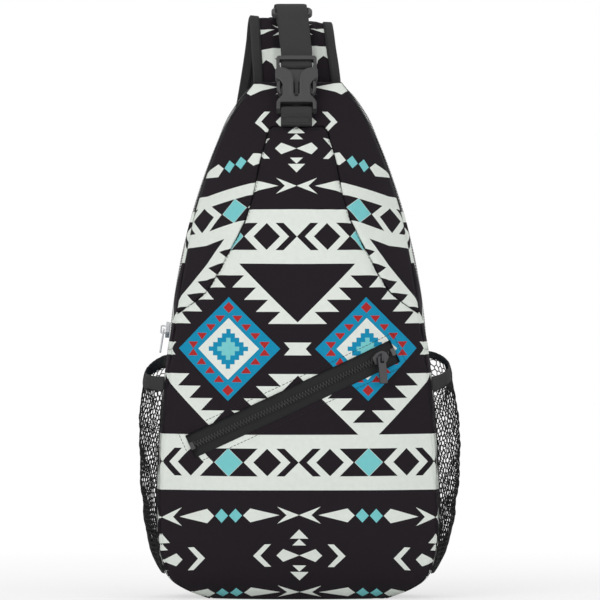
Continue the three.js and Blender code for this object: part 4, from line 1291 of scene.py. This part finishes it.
class Track:
    """A circular track through three points, with places by their distance along it."""

    def __init__(self, first, middle, last):
        a, b = first - last, middle - last
        normal = np.cross(a, b)
        self.centre = np.cross(b * (a @ a) - a * (b @ b), normal) / (2 * normal @ normal) + last
        self.radius = np.linalg.norm(first - self.centre)
        self.axis = -unit(normal)
        self.start = (first - self.centre) / self.radius
        end = last - self.centre
        if end @ np.cross(self.axis, self.start) < 0:
            self.axis = -self.axis
        self.ahead = np.cross(self.axis, self.start)
        self.length = self.radius * math.atan2(end @ self.ahead, end @ self.start)

    def outward(self, at):
        turn = at[:, None] / self.radius
        return self.start * np.cos(turn) + self.ahead * np.sin(turn)

    def tangent(self, at):
        turn = at[:, None] / self.radius
        return self.ahead * np.cos(turn) - self.start * np.sin(turn)

    def point(self, at, height):
        return self.outward(at) * (self.radius + height) + self.centre


def coil_teeth(name, path, tangent, sideways, normal, node):
    """Two rows of loops that lock into each other along a path."""
    run = run_along(path)
    at = np.arange(0.8, run[-1] - 0.8, TOOTH_PITCH / 2)
    middle, ahead, beside, up = (interpolated(at, run, v) for v in (path, tangent, sideways, normal))
    beside = beside * np.where(np.arange(len(at)) % 2 == 0, 1.0, -1.0)[:, None]
    obj = capsules(name, middle + beside * 0.85, unit(beside + ahead * 0.22), up, *TOOTH_SIZE)
    piece(obj, COIL_NYLON, [node])


def make_front_zip():
    half = FRONT_ZIP_LENGTH / 2 + FRONT_TAPE_PAST_END
    for name, side in (("upper", 1), ("lower", -1)):
        along, beside = grid(np.linspace(-half, half, 100), np.linspace(GAP, FRONT_TAPE_WIDTH, 14))
        x, z = zip_point(along, beside * side)
        p = front_point(x / (half_width(z) - FRONT_TAPE_DEPTH), z, FRONT_TAPE_DEPTH)
        p[..., 1] += ripples(along, beside, wavelength=16, seed=81) * 0.12 + 0.25 * smoothstep(3, 9, beside)
        obj = grid_mesh(f"front_tape_{name}", p, stacked(beside, along))
        face_front(obj)
        thicken(obj, TAPE)
        piece(obj, TAPE_CLOTH, [f"front_zipper_tape_{name}"])

    ends = (FRONT_ZIP_START, FRONT_ZIP_MIDDLE, FRONT_ZIP_END)
    track = Track(*[front_point(x / half_width(z), z) for x, z in ends])
    at = np.linspace(FRONT_COIL_END, track.length - FRONT_COIL_END, 200)
    sideways = np.broadcast_to(track.axis, (len(at), 3))
    coil_teeth("front_coil_teeth", track.point(at, FRONT_COIL_HEIGHT), track.tangent(at), sideways,
               track.outward(at), "front_zipper_coil")


def main_route(height, start):
    """The main zipper's line: up the left leg, over the top and down the right leg."""
    heights = (MAIN_ZIP_START, (MAIN_ZIP_START + MAIN_ZIP_ARC_END) / 2, MAIN_ZIP_ARC_END)
    track = Track(*[stacked(-half_width(z) - SIDE_BULGE / 2, MAIN_ZIP_Y, z) for z in heights])
    leg = track.point(np.linspace(start, track.length, 9), height)
    shoulder_x, shoulder_z = MAIN_SHOULDER
    shoulder = np.array([[-shoulder_x - height * 0.5, MAIN_ZIP_Y, shoulder_z + height * 0.8]])
    over = np.array([[x, MAIN_ZIP_Y, MAIN_CREST_Z + height - abs(x) / 44] for x in MAIN_CREST_X])
    mirror = np.array([-1, 1, 1])
    return np.concatenate([leg, shoulder, over, shoulder * mirror, leg[::-1] * mirror])


def make_main_zip():
    path, tangent, length = spline(main_route(*MAIN_TAPE_LINE), 420)
    tape = ribbon("main_tape", path, *across(tangent, (0, 1, 0)), width=16.4, thickness=0.9, beside=0.1,
                  count=13, crown=0.95)
    piece(tape, TAPE_CLOTH, ["main_zipper_tape"])
    length * MM
    path, tangent, _ = spline(main_route(*MAIN_COIL_LINE), 420)
    coil_teeth("main_coil_teeth", path, tangent, *across(tangent, (0, 1, 0)), "main_zipper_coil")


# Rigid pieces
def rounded(name, source, rounding, material, body, node, local=None):
    """A rigid piece with softened edges, made from a solid's mesh in the solid's own axes."""
    voxel, passes = rounding
    obj = add_object(name, source.data.copy())
    if local is not None:
        obj.data.transform(local.inverted())
    with edited(obj) as work:
        bmesh.ops.remove_doubles(work, verts=work.verts, dist=1e-6)
    remesh = obj.modifiers.new("remesh", "REMESH")
    remesh.mode = "VOXEL"
    remesh.voxel_size = voxel * MM
    remesh.use_smooth_shade = True
    soften = obj.modifiers.new("soften", "SMOOTH")
    soften.factor = 0.5
    soften.iterations = passes
    apply_modifiers(obj)
    if local is not None:
        obj.data.transform(local)
    obj.data.polygons.foreach_set("use_smooth", [True] * len(obj.data.polygons))
    piece(obj, material, [node], body)


def extruded(outline, y0, y1):
    """A plain solid from an outline drawn in X and Z, for shaping before its edges are softened."""
    count = len(outline)
    vertices = [(x, y0, z) for x, z in outline] + [(x, y1, z) for x, z in outline]
    faces = [list(range(count)), list(range(count, 2 * count))[::-1]]
    faces += [[i, i + count, (i + 1) % count + count, (i + 1) % count] for i in range(count)]
    return face_outwards(add_mesh("shape", vertices, faces, smooth=False))


def mirrored(half):
    return [*half, *[(-x, z) for x, z in reversed(half)]]


def block(half, y0, y1, z0, z1, middle=0.0):
    left, right = middle - half, middle + half
    return extruded([(left, z0), (right, z0), (right, z1), (left, z1)], y0, y1)


def combine(base, tools, operation):
    for tool in tools:
        step = base.modifiers.new("combine", "BOOLEAN")
        step.operation = operation
        step.solver = "EXACT"
        step.object = tool
        apply_modifiers(base)
        bpy.data.objects.remove(tool)


def cut_blocks(base, blocks):
    combine(base, [block(*sizes) for sizes in blocks.values()], "DIFFERENCE")


def moulded(name, shape, matrix, rounding, body, node):
    """A plastic piece from a shape drawn in its own axes, which it uses up."""
    shape.data.transform(matrix)
    rounded(name, shape, rounding, BUCKLE_PLASTIC, body, node, matrix)
    bpy.data.objects.remove(shape)


def make_buckle():
    female = extruded(mirrored(FEMALE_OUTLINE), *FEMALE_DEPTH)
    ridges = [block(*FEMALE_RIDGE, middle=side * FEMALE_RIDGE_X) for side in (-1, 1)]
    combine(female, [*ridges, block(*FEMALE_RAIL)], "UNION")
    cut_blocks(female, FEMALE_CUTS)
    moulded("buckle_female_shell", female, BUCKLE_MATRIX, BUCKLE_ROUNDING, "bag", "buckle_female")

    male = extruded(mirrored(MALE_FRAME), *MALE_DEPTH)
    added = [extruded(mirrored(outline), *depth) for outline, *depth in MALE_ADDED.values()]
    for outline, depth in ((MALE_PRONG, PRONG_HALF_DEPTH), (PRONG_PAD, PRONG_PAD_HALF_DEPTH)):
        added += [extruded([(side * x, z) for x, z in outline], -depth, depth) for side in (-1, 1)]
    combine(male, added, "UNION")
    cut_blocks(male, MALE_CUTS)
    moulded("buckle_male_plug", male, BUCKLE_MATRIX, BUCKLE_ROUNDING, "buckle_plug", "buckle_male")


def make_triglide():
    middle, reach, half_height = TRIGLIDE_LOBE
    lobe = [(middle + reach * math.cos(a), half_height * math.sin(a))
            for a in np.linspace(-math.pi / 2, math.pi / 2, 11)]
    body = extruded(mirrored(lobe), *TRIGLIDE_DEPTH)
    cut_blocks(body, TRIGLIDE_CUTS)
    moulded("triglide_frame", body, TRIGLIDE_MATRIX, TRIGLIDE_ROUNDING, "buckle_plug", "triglide")


def make_hardware():
    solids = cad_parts
    metal = [("front_slider", "body", "slider", DARK_METAL, "dark_metal"),
             ("front_pull", "tab", "pull", DARK_METAL, "dark_metal"),
             ("main_slider", "body", "slider", BRIGHT_METAL, "bright_metal"),
             ("main_pull", "tab", "pull", BRIGHT_METAL, "bright_metal")]
    for body, ending, kind, material, slot in metal:
        zipper = body.split("_")[0]
        node = f"{zipper}_zipper_{kind}"
        rounded(f"{body}_{ending}", solids[node], SMALL_ROUNDING, material, body, node)
    for end in ("bottom", "top"):
        node = f"front_zipper_stop_{end}"
        rounded(f"front_stop_{end}", solids[node], SMALL_ROUNDING, COIL_NYLON, "bag", node)
    for name, node, rounding, material, slot in (
            ("ladder_lock_frame", "ladder_lock", LADDER_ROUNDING, BUCKLE_PLASTIC, "buckle_plastic"),
            ("corner_tab_patch", "corner_tab", PATCH_ROUNDING, BASE_CLOTH, "webbing")):
        rounded(name, solids[node], rounding, material, "bag", node, adjuster_matrix())


# Stitches and the tape at the strap's foot
def surface_tree(*names):
    """The faces of some pieces, for finding where a line lies on them."""
    vertices, faces = [], []
    for name in names:
        mesh = bpy.data.objects[name].data
        first = len(vertices)
        vertices += [v.co.copy() for v in mesh.vertices]
        faces += [[i + first for i in polygon.vertices] for polygon in mesh.polygons]
    return BVHTree.FromPolygons(vertices, faces)


def stitch_line(tree, path, out):
    """Middles, directions and normals of a row of stitches, laid on a surface along a path."""
    path = np.asarray(path, float)
    out = np.broadcast_to(np.asarray(out, float), path.shape)
    run = run_along(path)
    rows = []
    for distance in np.arange(STITCH_PITCH / 2, run[-1] - STITCH_PITCH / 2, STITCH_PITCH):
        ends = []
        for at in (distance - STITCH / 2, distance + STITCH / 2):
            outward = Vector(interpolated(at, run, out)).normalized()
            start = (Vector(interpolated(at, run, path)) + outward * STITCH_LIFT) * MM
            place, normal, _, _ = tree.ray_cast(start, -outward, STITCH_REACH * MM)
            if place is not None:
                facing = normal if normal.dot(outward) > 0 else -normal
                ends.append((np.array(place) / MM, np.array(facing)))
        if len(ends) == 2:
            (first, first_up), (last, last_up) = ends
            rows.append(((first + last) / 2, last - first, first_up + last_up))
    return [np.array(values) for values in zip(*rows)]


def sew(name, lines):
    middle, along, up = (np.concatenate(values) for values in zip(*lines))
    obj = capsules(name, middle + unit(up) * THREAD_WIDTH * 0.12, along, up, STITCH, THREAD_WIDTH,
                   THREAD_WIDTH * 0.8)
    piece(obj, THREAD)


def front_path(x, z):
    return front_point(np.clip(x / half_width(z), -1, 1), z)


def rectangle(half_x, z0, z1, steps=24):
    """X and Z round a rectangle, from its lower left corner."""
    corners = np.array([[-half_x, z0], [half_x, z0], [half_x, z1], [-half_x, z1], [-half_x, z0]])
    return interpolated(np.linspace(0, 4, 4 * steps + 1), np.arange(5), corners)


def sew_front():
    front = surface_tree("front_panel_cloth")
    z = np.linspace(*YOKE_STITCH_Z, 90)
    leg = yoke_seam_x(z) - YOKE_STITCH_IN
    seam = front_path(np.concatenate([-leg, leg[::-1]]), np.concatenate([z, z[::-1]]))
    half_height = FRONT_SLOT_WIDTH / 2 + SLOT_MARGIN
    along, beside = rectangle(FRONT_ZIP_LENGTH / 2 + SLOT_MARGIN, -half_height, half_height, 60).T
    slot = front_path(*zip_point(along, beside))
    sew("front_stitches", [stitch_line(front, path, (0, -1, 0.05)) for path in (seam, slot)])


def make_foot_tape():
    """The tape that covers the end of the strap where it is sewn to the back."""
    half, low, high = FOOT_TAPE
    bindings = [f"strap_binding_{name}_tape" for name in SIDES]
    under = surface_tree("back_pad", "strap_pad_cloth", *bindings)
    z, x = grid(np.linspace(low, high, 17), np.linspace(-half, half, 60))
    y = np.zeros_like(x)
    for row, column in np.ndindex(*x.shape):
        start = Vector((x[row, column], 70, z[row, column])) * MM
        place = under.ray_cast(start, Vector((0, -1, 0)), 50 * MM)[0]
        y[row, column] = place.y / MM if place is not None else rear_y(z[row, column])
    for _ in range(14):
        y[1:-1] = np.maximum(y[1:-1], (y[:-2] + y[2:]) / 2)
        y[:, 1:-1] = (y[:, :-2] + 2 * y[:, 1:-1] + y[:, 2:]) / 4
    y = y + FOOT_TAPE_COVER * (1 - 0.5 * (np.abs(z - (low + high) / 2) / ((high - low) / 2)) ** 4)
    obj = sheet_mesh("strap_foot_tape", stacked(x, y, z), stacked(x, y - 1.0, z), stacked(z, x))
    piece(obj, BINDING_CLOTH)


def sew_strap():
    path, sideways, normal, width = strap_line()
    lines = []
    for name, side in SIDES.items():
        edge = path + sideways * side * (width / 2 - BINDING_WIDTH + 1.5)[:, None]
        tape = surface_tree(f"strap_binding_{name}_tape")
        lines += [stitch_line(tape, edge, -normal), stitch_line(tape, edge, normal)]
    half, low, high = FOOT_TAPE
    foot = surface_tree("strap_foot_tape")
    for height in (low + 1.6, high - 1.6):
        row = stacked(np.linspace(2 - half, half - 2, 40), 52.0, height)
        lines.append(stitch_line(foot, row, (0, 1, 0)))
    sew("strap_stitches", lines)


def sew_webbing():
    ahead = np.array(BUCKLE_MATRIX.to_3x3() @ Vector((0, -1, 0)))
    box = [[x, -3, z] for x, z in rectangle(BOX_STITCH_HALF, -9.6, -5.2)]
    tab = surface_tree("buckle_tab_webbing")
    lines = [stitch_line(tab, into_bag(BUCKLE_MATRIX, box), ahead)]
    patch = surface_tree("anchor_patch")
    start, end = (np.array(p, float) for p in ANCHOR_ROUTE)
    up = unit(end - start)
    beside = unit(np.array([1, 0, 0]) - up * up[0])
    rear = np.cross(up, beside)
    rear = rear * np.sign(rear[1])
    reach = np.linalg.norm(end - start)
    marks = [rectangle(BOX_STITCH_HALF, 2.2, reach - 2.2), np.array([[-10, 3], [10, reach - 3]]),
             np.array([[10, 3], [-10, reach - 3]])]
    for mark in marks:
        line = start + beside * mark[:, :1] + up * mark[:, 1:]
        lines.append(stitch_line(patch, line, rear))
    sew("webbing_stitches", lines)


# Stage, light and camera
def seen_by_eye(tree):
    """One for rays that come from the camera, straight or by way of a mirror or glass."""
    rays = add_node(tree, "LightPath").outputs
    kinds = ("Camera", "Glossy", "Transmission")
    straight, mirrored_ray, through = (Field(tree, rays[f"Is {kind} Ray"]) for kind in kinds)
    return straight | mirrored_ray | through


def make_stage():
    corners = [[x * FLOOR_REACH, y * FLOOR_REACH, 0] for x, y in ((-1, -1), (1, -1), (1, 1), (-1, 1))]
    floor = add_mesh("floor", corners, [[0, 1, 2, 3]])
    material, tree, shader = new_material("floor_paper", roughness=0.9, specular=0.1)
    shader.inputs["Base Color"].default_value = (0.9, 0.9, 0.9, 1.0)
    where = add_node(tree, "TexCoord").outputs["Object"]
    reach = add_node(tree, "VectorMath", {0: where}, operation="LENGTH").outputs["Value"]
    fade = (Field(tree, reach) * FLOOR_FADE_RATE + FLOOR_GLOW).lower(1.0)
    glow = add_node(tree, "Emission")
    shares = {0: fade * seen_by_eye(tree), 1: shader.outputs[0], 2: glow.outputs[0]}
    blend = add_node(tree, "MixShader", shares)
    connect(tree, blend.outputs[0], tree.nodes["Material Output"].inputs["Surface"])
    floor.data.materials.append(material)
    world = bpy.data.worlds.new("studio")
    bpy.context.scene.world = world
    world.use_nodes = True
    tree = world.node_tree
    sky = tree.nodes["Background"]
    sky.inputs["Color"].default_value = (1.0, 1.0, 1.0, 1.0)
    connect(tree, seen_by_eye(tree) * (1.0 - WORLD_LIGHT) + WORLD_LIGHT, sky.inputs["Strength"])


def make_lamp(name, place, target, size, power):
    data = bpy.data.lights.new(name, "AREA")
    data.shape = "SQUARE"
    data.size = size
    data.energy = power
    lamp = add_object(name, data)
    lamp.location = place
    lamp.rotation_euler = (Vector(target) - Vector(place)).to_track_quat("-Z", "Y").to_euler()


def make_camera():
    data = bpy.data.cameras.new("camera")
    data.sensor_width = 36
    data.lens = data.sensor_width * VIEW_DISTANCE / VIEW_WIDTH
    data.clip_end = 50
    camera = add_object("camera", data)
    back = Vector((0, -math.cos(VIEW_ELEVATION), math.sin(VIEW_ELEVATION)))
    camera.location = VIEW_MIDDLE + back * VIEW_DISTANCE
    camera.rotation_euler = (-back).to_track_quat("-Z", "Y").to_euler()
    bpy.context.scene.camera = camera


make_front_panel()
make_yoke()
make_back()
make_bottom()
make_pocket_bag()
for side_name in SIDES:
    make_side(side_name)
    make_pocket(side_name)
make_strap()
make_webbing()
make_front_zip()
make_main_zip()
make_buckle()
make_triglide()
make_hardware()
sew_front()
make_foot_tape()
sew_strap()
sew_webbing()
make_stage()
for lamp_values in LAMPS:
    make_lamp(*lamp_values)
make_camera()
bpy.context.scene.view_settings.view_transform = "Standard"
